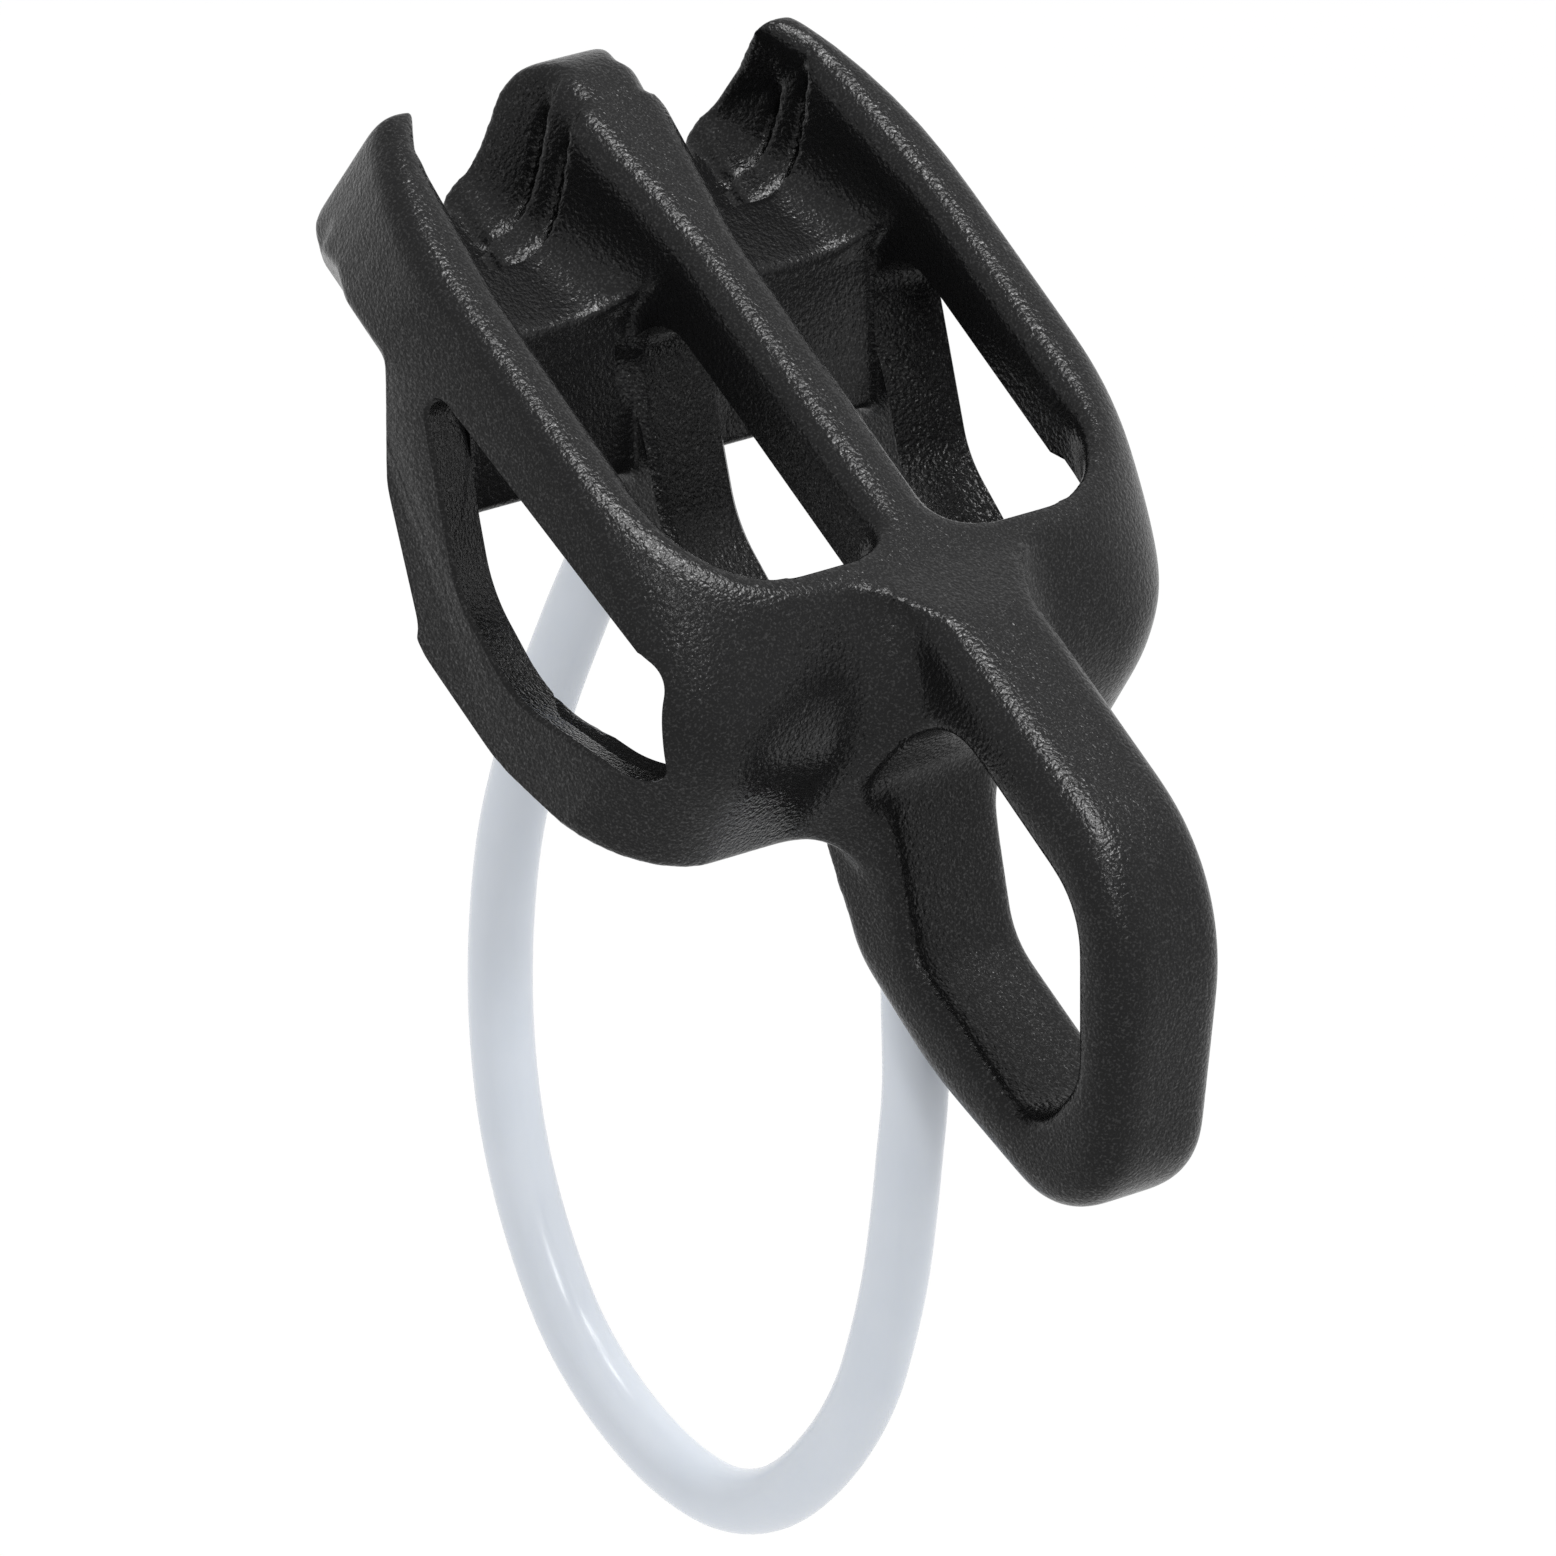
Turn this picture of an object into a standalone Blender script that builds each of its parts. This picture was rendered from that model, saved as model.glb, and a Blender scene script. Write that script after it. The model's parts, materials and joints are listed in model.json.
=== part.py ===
"""A tube-style belay device: a forged aluminium body with two rope slots, an anchor eye and a keeper loop.

Frame: metres, origin at the centre of the anchor eye. +X runs across the rope slots, +Y from the eye back
to the friction channels and +Z out of the face that the rope enters.
"""

import math

import bmesh
import bpy
from mathutils import Matrix, Vector

MM = 0.001

# Across the device
SLOT_WIDTH = 13.9 * MM
WEB = 6.2 * MM
WEB_CROWN = 4.8 * MM
WALL = 4.3 * MM
EYE_PLATE = 9.4 * MM

# Heights, with the rope face measured from the centre of the eye and the rest down from the rope face
ROPE_FACE = 9.7 * MM
BODY_DEPTH = 19.9 * MM
HEEL_DEPTH = 11.8 * MM
CHIN_DEPTH = 16.3 * MM
BROW_DEPTH = 5.6 * MM

# Distances behind the centre of the eye
REAR_END = 64.1 * MM
HEEL_REAR = 58.9 * MM
HEEL_FRONT = 47.8 * MM
KEEL_REAR = 35.8 * MM
KEEL_FRONT = 25.2 * MM
BOW_CREST = 21.8 * MM
BOW_BROW = 13.7 * MM
BOW_CHIN = 12.2 * MM

# Radii of the side outline, from the tail forward, and of the bow
TAIL_RADIUS = 3.5 * MM
HEEL_REAR_RADIUS = 3.0 * MM
HEEL_FRONT_RADIUS = 8.0 * MM
KEEL_REAR_RADIUS = 9.0 * MM
KEEL_FRONT_RADIUS = 12.0 * MM
BOW_RADIUS = 11.0 * MM

# Rounding of the rails' crests, and of the edges of the neck and the ring
CREST_RADIUS = 1.7 * MM
PLATE_RADIUS = 2.3 * MM

# Plan corners of the body: across and along
BOW_CORNER_TOP = (11.0 * MM, 14.0 * MM)
BOW_CORNER_LOW = (6.8 * MM, 8.0 * MM)
TAIL_CORNER = (12.4 * MM, 20.2 * MM)

# Slope under the outer edges of the heel, and where it steepens to the tips of the tail
BILGE = 4.2 * MM
BILGE_STEEPENS = 55.2 * MM
BILGE_TIP = 57.8 * MM

# Rope slots
RAMP_TOP = 45.8 * MM
RAMP_TOP_DEPTH = 6.5 * MM
RAMP_FOOT = 39.2 * MM
RAMP_FOOT_DEPTH = 14.3 * MM
RAMP_THICK = 3.0 * MM
SLOT_FRONT_TOP = 22.4 * MM
SLOT_FRONT_LOW = 17.6 * MM
SLOT_FRONT_BEND = 7.0 * MM
SLOT_FRONT_RADIUS = 8.0 * MM
SLOT_CORNER_TOP = (8.0 * MM, 8.5 * MM)
SLOT_CORNER_LOW = (3.2 * MM, 3.2 * MM)
SLOT_INNER_CORNER = (5.0 * MM, 3.0 * MM)

# Friction channels, cut in steps from the saddle back to the tail
CHANNEL_FLOOR = 2.4 * MM
CHANNEL_MOUTH = 5.1 * MM
CHANNEL_POINTS = 7
SADDLE_DEPTH = 6.1 * MM
SADDLE_CURVE = 0.72
STEP_DEPTH = 0.85 * MM
STEP_WIDEN = 0.8 * MM
STEP_TOPS = (57.1 * MM, 60.0 * MM)
STEP_FLOORS = (50.7 * MM, 53.8 * MM)
TAIL_NOTCH = 58.0 * MM

# Side windows: corners as distance behind the eye, depth below the rope face and radius
WINDOW_TAIL = (45.4 * MM, 5.8 * MM, 1.2 * MM)
WINDOW_BROW = (19.7 * MM, 4.1 * MM, 2.5 * MM)
WINDOW_FRONT = (15.6 * MM, 10.2 * MM, 1.2 * MM)
SILL_FRONT = 4.6 * MM
SILL_REAR = 5.7 * MM
WINDOW_SILL_FRONT = (26.9 * MM, BODY_DEPTH - SILL_FRONT, 8.0 * MM)
WINDOW_SILL_REAR = (34.1 * MM, BODY_DEPTH - SILL_REAR, 7.0 * MM)
WINDOW_FLARE = 2.0 * MM
WEB_FLARE = 1.2 * MM
WEB_CHAMFER = 0.6 * MM

# Anchor eye and the ring round it
EYE_TOP = 13.2 * MM
EYE_FLOOR = 15.8 * MM
EYE_HEIGHT = 11.9 * MM
EYE_DROP = 5.95 * MM
EYE_FLARE = 2.0 * MM
EYE_RAKE = 5.6 * MM
EYE_TOP_RADII = (5.0 * MM, 6.0 * MM)
EYE_FLOOR_RADII = (4.2 * MM, 6.5 * MM)
RIM_TOP = 5.0 * MM
RIM_FLOOR = 5.4 * MM
RIM_BROW = 2.9 * MM
RIM_BROW_RADIUS = 14.0 * MM
RIM_NOSE = 9.6 * MM
RIM_NOSE_RADIUS = 5.5 * MM
RIM_HEEL = 2.4 * MM
RIM_HEEL_DROP = 1.5 * MM
RIM_HEEL_RADIUS = 5.0 * MM
NECK_ROOT = 7.5 * MM
NECK_RADIUS = 10.0 * MM
NECK_FILLET_TOP = 6.0 * MM
NECK_FILLET_LOW = 8.0 * MM

# Keeper loop
LOOP_DIAMETER = 4.1 * MM
WIRE_DIAMETER = 2.4 * MM
LOOP_STEP = 4.0 * MM
FINE_STEPS = 12
BOSS_DIAMETER = 7.6 * MM
BORE_DEPTH = 6.0 * MM
PIVOT_STAND_OFF = 1.0 * MM
FERRULE_LENGTH = 5.2 * MM
CLEARANCE = 0.3 * MM

# Forging: the grain at which the raw shape is rounded
FORGE_GRAIN = 0.65 * MM
FORGE_PASSES = 10
FACET_SHARE = 0.19

BODY_WIDTH = WEB + 2 * SLOT_WIDTH + 2 * WALL
HALF_WIDTH = BODY_WIDTH / 2
SLOT_MIDDLE = WEB / 2 + SLOT_WIDTH / 2
BEYOND = 6 * MM
TRIM = 0.25 * MM

# Keeper route in its plane, from the rear bore round to the front bore: behind the eye, above the eye
ROUTE = [
    (40.3, -11.8), (39.7, -15.0), (38.8, -20.0), (37.3, -26.5), (35.2, -32.9), (33.1, -37.5),
    (29.8, -42.7), (26.0, -47.3), (21.7, -51.2), (16.8, -54.3), (11.3, -56.6), (6.7, -57.4),
    (2.1, -57.2), (-2.1, -56.1), (-5.6, -54.1), (-8.0, -51.1), (-9.3, -47.3), (-9.7, -42.5),
    (-9.2, -37.9), (-7.9, -33.8), (-6.2, -29.8), (-4.2, -26.1), (-2.1, -22.6), (0.4, -18.6),
    (3.6, -14.7), (5.3, -12.7),
]


def height(depth):
    """Height above the eye of a point given by its depth below the rope face."""
    return ROPE_FACE - depth


def rounded(corners, closed=True, steps=5):
    """Points of an outline whose corners, each (along, up, radius), are rounded by arcs."""
    points = []
    count = len(corners)
    for index, (along, up, radius) in enumerate(corners):
        here = Vector((along, up))
        at_end = not closed and index in (0, count - 1)
        if radius == 0 or at_end:
            points.append(here)
            continue
        back = Vector(corners[index - 1][:2]) - here
        ahead = Vector(corners[(index + 1) % count][:2]) - here
        half = back.angle(ahead) / 2
        reach = min(radius / math.tan(half), 0.48 * back.length, 0.48 * ahead.length)
        radius = reach * math.tan(half)
        middle = (back.normalized() + ahead.normalized()).normalized()
        centre = here + middle * radius / math.sin(half)
        first = here + back.normalized() * reach - centre
        last = here + ahead.normalized() * reach - centre
        sweep = first.angle_signed(last)
        for step in range(steps + 1):
            turn = Matrix.Rotation(-sweep * step / steps, 2)
            points.append(centre + turn @ first)
    return points


def grown(corners, amount):
    """The same corners moved out by an amount, with their radii grown to match."""
    count = len(corners)
    moved = []
    for index, (along, up, radius) in enumerate(corners):
        here = Vector((along, up))
        back = (Vector(corners[index - 1][:2]) - here).normalized()
        ahead = (Vector(corners[(index + 1) % count][:2]) - here).normalized()
        half = back.angle(ahead) / 2
        there = here - (back + ahead).normalized() * amount / math.sin(half)
        moved.append((there.x, there.y, max(radius + amount, 0)))
    return moved


def quarter(centre, across, along, start, steps=7):
    """Points of a quarter ellipse from the angle start, in quarters of a turn, one quarter on."""
    points = []
    for step in range(steps + 1):
        angle = (start + step / steps) * math.pi / 2
        points.append((centre[0] + across * math.cos(angle), centre[1] + along * math.sin(angle)))
    return points


def corner_at(top, low, up):
    """A plan corner, across and along, that goes from its size at the rope face to that at the brow."""
    share = min(max((ROPE_FACE - up) / BROW_DEPTH, 0), 1)
    return [wide + share * (narrow - wide) for wide, narrow in zip(top, low)]


def drawn_in(radius, depth):
    """How far a rounded edge draws in at a depth below its crest."""
    left = radius - min(max(depth, 0), radius)
    return radius - math.sqrt(radius**2 - left**2)


def crest_levels():
    """Heights at which the rounded crests of the rails are drawn."""
    return [height(share * CREST_RADIUS) for share in (0, 0.13, 0.4, 1)]


def read_across(line, up):
    """How far along an open line lies at a height, with the line carried on straight past its ends."""
    for (along_a, up_a), (along_b, up_b) in zip(line, line[1:]):
        last = (along_b, up_b) == tuple(line[-1])
        if up >= up_b or last:
            share = (up - up_a) / (up_b - up_a)
            return along_a + share * (along_b - along_a)
    return line[-1][0]


def material(name, colour, roughness, metallic):
    made = bpy.data.materials.new(name)
    made.use_nodes = True
    shader = made.node_tree.nodes["Principled BSDF"]
    shader.inputs["Base Color"].default_value = (*colour, 1)
    shader.inputs["Roughness"].default_value = roughness
    shader.inputs["Metallic"].default_value = metallic
    made.diffuse_color = (*colour, 1)
    return made


def link_mesh(name, mesh_data):
    """An object from a bmesh, cut into triangles and with its faces turned out."""
    bmesh.ops.triangulate(mesh_data, faces=mesh_data.faces)
    bmesh.ops.recalc_face_normals(mesh_data, faces=mesh_data.faces)
    mesh = bpy.data.meshes.new(name)
    mesh_data.to_mesh(mesh)
    mesh_data.free()
    made = bpy.data.objects.new(name, mesh)
    bpy.context.scene.collection.objects.link(made)
    return made


def loft(name, rings):
    """A closed solid through rings of equally many points, capped at both ends."""
    data = bmesh.new()
    loops = [[data.verts.new(point) for point in ring] for ring in rings]
    count = len(loops[0])
    for lower, upper in zip(loops, loops[1:]):
        for index in range(count):
            after = (index + 1) % count
            data.faces.new((lower[index], lower[after], upper[after], upper[index]))
    data.faces.new(loops[0])
    data.faces.new(loops[-1])
    return link_mesh(name, data)


def across(outline, x):
    """A side outline, as points (along, up), placed at one distance across the device."""
    return [Vector((x, along, up)) for along, up in outline]


def side_prism(name, outline, x_low, x_high):
    return loft(name, [across(outline, x_low), across(outline, x_high)])


def rod(name, radius, start, end, sides=24):
    """A plain round bar between two points."""
    data = bmesh.new()
    length = (end - start).length
    bmesh.ops.create_cone(
        data, cap_ends=True, segments=sides, radius1=radius, radius2=radius, depth=length
    )
    turn = Vector((0, 0, 1)).rotation_difference(end - start).to_matrix().to_4x4()
    place = Matrix.Translation((start + end) / 2) @ turn
    bmesh.ops.transform(data, matrix=place, verts=data.verts)
    return link_mesh(name, data)


def combine(target, tool, operation):
    """Add a Boolean to the target, and hide its tool."""
    modifier = target.modifiers.new(tool.name, "BOOLEAN")
    modifier.operation = operation
    modifier.object = tool
    modifier.solver = "EXACT"
    tool.hide_render = True
    tool.display_type = "WIRE"


def bow_line():
    """The front of the body from the crest of the rails down to the chin, as (along, up) points."""
    corners = [
        (BOW_CREST, ROPE_FACE + 6 * TRIM, 0),
        (BOW_BROW, height(BROW_DEPTH), BOW_RADIUS),
        (BOW_CHIN, height(BODY_DEPTH) - BEYOND, 0),
    ]
    return rounded(corners, closed=False, steps=6)


def slot_front_line():
    """The front wall of a rope slot, which follows the bow, as (along, up) points."""
    lean = SLOT_FRONT_TOP - SLOT_FRONT_LOW
    corners = [
        (SLOT_FRONT_TOP + 0.7 * lean, ROPE_FACE + BEYOND, 0),
        (SLOT_FRONT_LOW, height(SLOT_FRONT_BEND), SLOT_FRONT_RADIUS),
        (SLOT_FRONT_LOW - 2 * TRIM, height(BODY_DEPTH) - BEYOND, 0),
    ]
    return rounded(corners, closed=False, steps=5)


def hull():
    """The raw outer shape: plan outlines that follow the bow, trimmed to the side outline."""
    half = HALF_WIDTH + TRIM
    tail_across, tail_along = TAIL_CORNER
    tail = REAR_END + 3 * TRIM
    rings = []
    for up in sorted({*(up for _, up in bow_line()), *crest_levels()}, reverse=True):
        front = read_across(bow_line(), up)
        bow_across, bow_along = corner_at(BOW_CORNER_TOP, BOW_CORNER_LOW, up)
        outer = half - drawn_in(CREST_RADIUS, ROPE_FACE - up)
        right = quarter((outer - bow_across, front + bow_along), bow_across, bow_along, 3)
        right += quarter((outer - tail_across, tail - tail_along), tail_across, tail_along, 0)
        left = [(-x, along) for x, along in reversed(right)]
        rings.append([Vector((x, along, up)) for x, along in right + left])
    made = loft("body", rings)
    side = [
        (0, ROPE_FACE, 0),
        (REAR_END, ROPE_FACE, TAIL_RADIUS),
        (HEEL_REAR, height(HEEL_DEPTH), HEEL_REAR_RADIUS),
        (HEEL_FRONT, height(HEEL_DEPTH), HEEL_FRONT_RADIUS),
        (KEEL_REAR, height(BODY_DEPTH), KEEL_REAR_RADIUS),
        (KEEL_FRONT, height(BODY_DEPTH), KEEL_FRONT_RADIUS),
        (BOW_CHIN, height(CHIN_DEPTH), 0),
        (0, height(CHIN_DEPTH), 0),
    ]
    trim = side_prism("side_outline", rounded(side), -half - BEYOND, half + BEYOND)
    combine(made, trim, "INTERSECT")
    for side in (-1, 1):
        combine(made, bilge(side), "DIFFERENCE")
    return made


def bilge(side):
    """The cutter for the sloped lower edge of the heel, which runs out at the keel."""
    stations = (
        (REAR_END + BEYOND, height(HEEL_DEPTH), 10 * BILGE),
        (BILGE_TIP, height(HEEL_DEPTH), 3.3 * BILGE),
        (BILGE_STEEPENS, height(HEEL_DEPTH), 1.4 * BILGE),
        (HEEL_FRONT, height(HEEL_DEPTH), BILGE),
        (KEEL_REAR - 2 * TRIM, height(BODY_DEPTH), BILGE / 4),
    )
    over = BEYOND
    rings = []
    for along, under, rise in stations:
        slope = rise / BILGE
        section = [
            (HALF_WIDTH - BILGE, under),
            (HALF_WIDTH + over, under + rise + over * slope),
            (HALF_WIDTH + over, under - over),
            (HALF_WIDTH - BILGE, under - over),
        ]
        rings.append([Vector((side * x, along, up)) for x, up in section])
    return loft(f"bilge_{'left' if side < 0 else 'right'}", rings)


def eye_corners():
    """Corners of the eye's outline, front to back along its top and back along its floor."""
    top = EYE_HEIGHT - EYE_DROP
    top_middle = EYE_RAKE / 2
    return [
        (top_middle + EYE_TOP / 2, top, EYE_TOP_RADII[0]),
        (top_middle - EYE_TOP / 2, top, EYE_TOP_RADII[1]),
        (-top_middle - EYE_FLOOR / 2, -EYE_DROP, EYE_FLOOR_RADII[0]),
        (-top_middle + EYE_FLOOR / 2, -EYE_DROP, EYE_FLOOR_RADII[1]),
    ]


def eye_cutter():
    """The cutter for the eye, whose edges flare out at both faces of the plate."""
    rings = [across(rounded(grown(eye_corners(), EYE_FLARE)), HALF_WIDTH)]
    for x, inset in edge_stations(EYE_FLARE):
        rings.append(across(rounded(grown(eye_corners(), inset)), x))
    rings.append(across(rounded(grown(eye_corners(), EYE_FLARE)), -HALF_WIDTH))
    return loft("eye", rings)


def edge_stations(radius):
    """Places across the plate of the eye, each with how far a rounded edge draws in there."""
    face = EYE_PLATE / 2
    right = [(face - share * radius, drawn_in(radius, share * radius)) for share in (0, 0.13, 0.4, 1)]
    return right + [(-x, inset) for x, inset in reversed(right)]


def ring_plate():
    """The neck and the ring round the eye, one plate standing in the middle plane."""
    eye = eye_corners()
    top = eye[0][1] + RIM_TOP
    floor = eye[3][1] - RIM_FLOOR
    root = BOW_BROW + NECK_ROOT
    outline = [
        (root, ROPE_FACE - 4 * TRIM, 0),
        (BOW_BROW + NECK_ROOT / 4, top, NECK_RADIUS),
        (eye[1][0] - RIM_BROW, top, RIM_BROW_RADIUS),
        (eye[2][0] - RIM_NOSE, floor, RIM_NOSE_RADIUS),
        (eye[3][0] - RIM_HEEL, floor - RIM_HEEL_DROP, RIM_HEEL_RADIUS),
        (eye[3][0] + RIM_HEEL, height(CHIN_DEPTH), RIM_HEEL_RADIUS / 2),
        (root, height(CHIN_DEPTH), 0),
    ]
    rings = [across(rounded(grown(outline, -inset)), x) for x, inset in edge_stations(PLATE_RADIUS)]
    return loft("ring_plate", rings)


def neck_flare():
    """Concave fillets, which follow the bow, between the ring plate and the shoulders."""
    half = EYE_PLATE / 2
    rings = []
    low = height(CHIN_DEPTH - NECK_ROOT / 4)
    levels = [up for _, up in bow_line() if low < up < ROPE_FACE]
    for up in [ROPE_FACE, *levels, low]:
        base = read_across(bow_line(), up) + TRIM
        (fillet,) = corner_at((NECK_FILLET_TOP,), (NECK_FILLET_LOW,), up)
        right = quarter((half + fillet, base - fillet), -fillet, fillet, 0)
        left = [(-x, along) for x, along in reversed(right)]
        rings.append([Vector((x, along, up)) for x, along in right + left])
    return loft("neck_flare", rings)


def rope_slot(side):
    """The cutter for one rope slot: a ramp behind, a wall that follows the bow in front."""
    slope = (RAMP_TOP - RAMP_FOOT) / (RAMP_FOOT_DEPTH - RAMP_TOP_DEPTH)
    lean = math.hypot(slope, 1)
    ramp = [
        (RAMP_TOP + slope * (RAMP_TOP_DEPTH + BEYOND), ROPE_FACE + BEYOND),
        (RAMP_FOOT, height(RAMP_FOOT_DEPTH)),
        (RAMP_FOOT + RAMP_THICK / lean, height(RAMP_FOOT_DEPTH + RAMP_THICK * slope / lean)),
        (RAMP_FOOT + 2 * RAMP_THICK, height(BODY_DEPTH) - BEYOND),
    ]
    front = slot_front_line()
    lines = ramp + [tuple(point) for point in front]
    levels = sorted({*(up for _, up in lines), *crest_levels()}, reverse=True)
    rings = []
    for up in levels:
        back = read_across(ramp, up)
        wall = read_across(front, up)
        corner_across, corner_along = corner_at(SLOT_CORNER_TOP, SLOT_CORNER_LOW, up)
        crest = drawn_in(CREST_RADIUS, ROPE_FACE - up)
        inner = corner_at((WEB_CROWN / 2,), (WEB / 2,), up)[0] - crest
        outer = WEB / 2 + SLOT_WIDTH + crest
        near_across, near_along = SLOT_INNER_CORNER
        outline = [(inner, back)]
        outline += quarter((inner + near_across, wall + near_along), near_across, near_along, 2)
        outline += quarter((outer - corner_across, wall + corner_along), corner_across, corner_along, 3)
        outline += [(outer, back)]
        rings.append([Vector((side * x, along, up)) for x, along in outline])
    return loft(f"rope_slot_{'left' if side < 0 else 'right'}", rings)


def channel_half(along, step):
    """Half of a channel's section, rim to floor, as (across, down): round at the saddle, a V at the tail."""
    share = max((along - RAMP_TOP) / (REAR_END - RAMP_TOP), 0)
    depth = SADDLE_DEPTH + step * STEP_DEPTH
    mouth = CHANNEL_MOUTH + step * STEP_WIDEN
    half = []
    for index in range(CHANNEL_POINTS):
        angle = index / (CHANNEL_POINTS - 1) * math.pi / 2
        round_across = (SLOT_WIDTH / 2 + step * STEP_WIDEN) * math.cos(angle) ** SADDLE_CURVE
        round_down = depth * math.sin(angle) ** SADDLE_CURVE
        wall = index / (CHANNEL_POINTS - 2)
        straight_across = mouth + wall * (CHANNEL_FLOOR - mouth) if wall <= 1 else 0
        straight_down = depth * min(wall, 1)
        here = round_across + share * (straight_across - round_across)
        half.append((here, round_down + share * (straight_down - round_down)))
    return half


def channel_ring(side, step, front, lean):
    """A ring of a channel's cutter, whose points move along by the lean as they go down."""
    middle = side * SLOT_MIDDLE
    rim = channel_half(front, step)[0][0] + CREST_RADIUS
    half = [(rim, front, -BEYOND), (rim, front, 0)]
    for index in range(1, CHANNEL_POINTS):
        down = channel_half(front, step)[index][1]
        here, down = channel_half(front + lean * down, step)[index]
        half.append((here, front + lean * down, down))
    whole = half + [(-x, along, down) for x, along, down in reversed(half[:-1])]
    return [Vector((middle + x, along, height(down))) for x, along, down in whole]


def friction_channel(side, step):
    """The cutter for one step of a friction channel, whose front end leans down and forward."""
    rear = channel_ring(side, step, REAR_END + BEYOND, 0)
    if step == 0:
        rings = [rear, channel_ring(side, step, RAMP_TOP, 0), channel_ring(side, step, RAMP_TOP - BEYOND / 2, 0)]
    else:
        top = STEP_TOPS[step - 1]
        lean = (STEP_FLOORS[step - 1] - top) / (SADDLE_DEPTH + step * STEP_DEPTH)
        rings = [rear, channel_ring(side, step, top, lean)]
    return loft(f"channel_{'left' if side < 0 else 'right'}_{step}", rings)


def tail_notch(side):
    """The cutter that draws the floor of a friction channel in between the two walls."""
    middle = side * SLOT_MIDDLE
    wide = CHANNEL_MOUTH + STEP_WIDEN
    outline = [
        (middle - CHANNEL_FLOOR, TAIL_NOTCH),
        (middle + CHANNEL_FLOOR, TAIL_NOTCH),
        (middle + wide, REAR_END + 2 * TRIM),
        (middle + wide, REAR_END + BEYOND),
        (middle - wide, REAR_END + BEYOND),
        (middle - wide, REAR_END + 2 * TRIM),
    ]
    levels = (ROPE_FACE + BEYOND, height(HEEL_DEPTH) - BEYOND)
    rings = [[Vector((x, along, up)) for x, along in outline] for up in levels]
    return loft(f"tail_notch_{'left' if side < 0 else 'right'}", rings)


def window_outline(flare):
    """The outline of a side window, grown by the flare except at its front."""
    stations = (WINDOW_TAIL, WINDOW_BROW, WINDOW_FRONT, WINDOW_SILL_FRONT, WINDOW_SILL_REAR)
    corners = [(along, height(depth), radius) for along, depth, radius in stations]
    front = WINDOW_FRONT[0]
    return rounded([(max(along, front), up, radius) for along, up, radius in grown(corners, flare)])


def window_outer(side):
    """The cutter for an outer wall's window, which widens towards the rope."""
    rings = [
        across(window_outline(0), side * (HALF_WIDTH + BEYOND)),
        across(window_outline(0), side * HALF_WIDTH),
        across(window_outline(WINDOW_FLARE), side * (HALF_WIDTH - WALL - TRIM)),
    ]
    return loft(f"window_{'left' if side < 0 else 'right'}", rings)


def window_web():
    """The cutter for the window through the web, with chamfered edges."""
    face = WEB / 2
    stations = ((face + BEYOND / 4, 2), (face, 1), (face - WEB_CHAMFER, 0))
    right = [(x, WEB_FLARE + share * WEB_CHAMFER) for x, share in stations]
    left = [(-x, flare) for x, flare in reversed(right)]
    return loft("window_web", [across(window_outline(flare), x) for x, flare in right + left])


def body_forging():
    made = hull()
    for tool in (ring_plate(), neck_flare(), *keeper_bosses()):
        combine(made, tool, "UNION")
    for side in (-1, 1):
        combine(made, rope_slot(side), "DIFFERENCE")
        combine(made, friction_channel(side, 0), "DIFFERENCE")
        combine(made, tail_notch(side), "DIFFERENCE")
    combine(made, window_web(), "DIFFERENCE")
    combine(made, eye_cutter(), "DIFFERENCE")

    forged = made.modifiers.new("forged_radii", "REMESH")
    forged.mode = "VOXEL"
    forged.voxel_size = FORGE_GRAIN
    blasted = made.modifiers.new("blasted_edges", "SMOOTH")
    blasted.factor = 0.5
    blasted.iterations = FORGE_PASSES
    facets = made.modifiers.new("facets", "DECIMATE")
    facets.ratio = FACET_SHARE
    facets.use_symmetry = True
    facets.symmetry_axis = "X"

    cheek = [(-BODY_WIDTH, -BODY_WIDTH), (-BODY_WIDTH, BODY_WIDTH), (2 * BODY_WIDTH, BODY_WIDTH)]
    cheek.append((2 * BODY_WIDTH, -BODY_WIDTH))
    combine(made, side_prism("cheeks", cheek, -HALF_WIDTH, HALF_WIDTH), "INTERSECT")
    for side in (-1, 1):
        combine(made, window_outer(side), "DIFFERENCE")
        for step in range(1, len(STEP_TOPS) + 1):
            combine(made, friction_channel(side, step), "DIFFERENCE")
    for place, mouth, out in keeper_ends():
        radius = LOOP_DIAMETER / 2 + CLEARANCE
        bore = rod(f"{place}_bore", radius, mouth - out * BORE_DEPTH, mouth + out * BEYOND)
        combine(made, bore, "DIFFERENCE")
    made.data.materials.append(material("black_anodised", (0.022, 0.022, 0.023), 0.42, 0.6))
    return made


def route_points():
    return [Vector((0, along * MM, up * MM)) for along, up in ROUTE]


def keeper_ends():
    """For each end of the loop: its name, the mouth of its bore and the way out of the bore."""
    route = route_points()
    ends = []
    for place, pivot, ahead in (("rear", route[0], route[1]), ("front", route[-1], route[-2])):
        out = (ahead - pivot).normalized()
        ends.append((place, pivot - out * PIVOT_STAND_OFF, out))
    return ends


def keeper_bosses():
    """Round bosses under the web and under the neck, which the loop's ends go into."""
    bosses = []
    for place, mouth, out in keeper_ends():
        inside = mouth - out * (BORE_DEPTH + BEYOND / 2)
        bosses.append(rod(f"{place}_boss", BOSS_DIAMETER / 2, inside, mouth + out * 2 * TRIM))
    return bosses


def on_curve(a, b, c, d, share):
    """A point between b and c on the smooth curve through four points of the route."""
    slope = c - a
    bend = 2 * a - 5 * b + 4 * c - d
    twist = 3 * b - a - 3 * c + d
    return b + 0.5 * (slope * share + bend * share**2 + twist * share**3)


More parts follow.
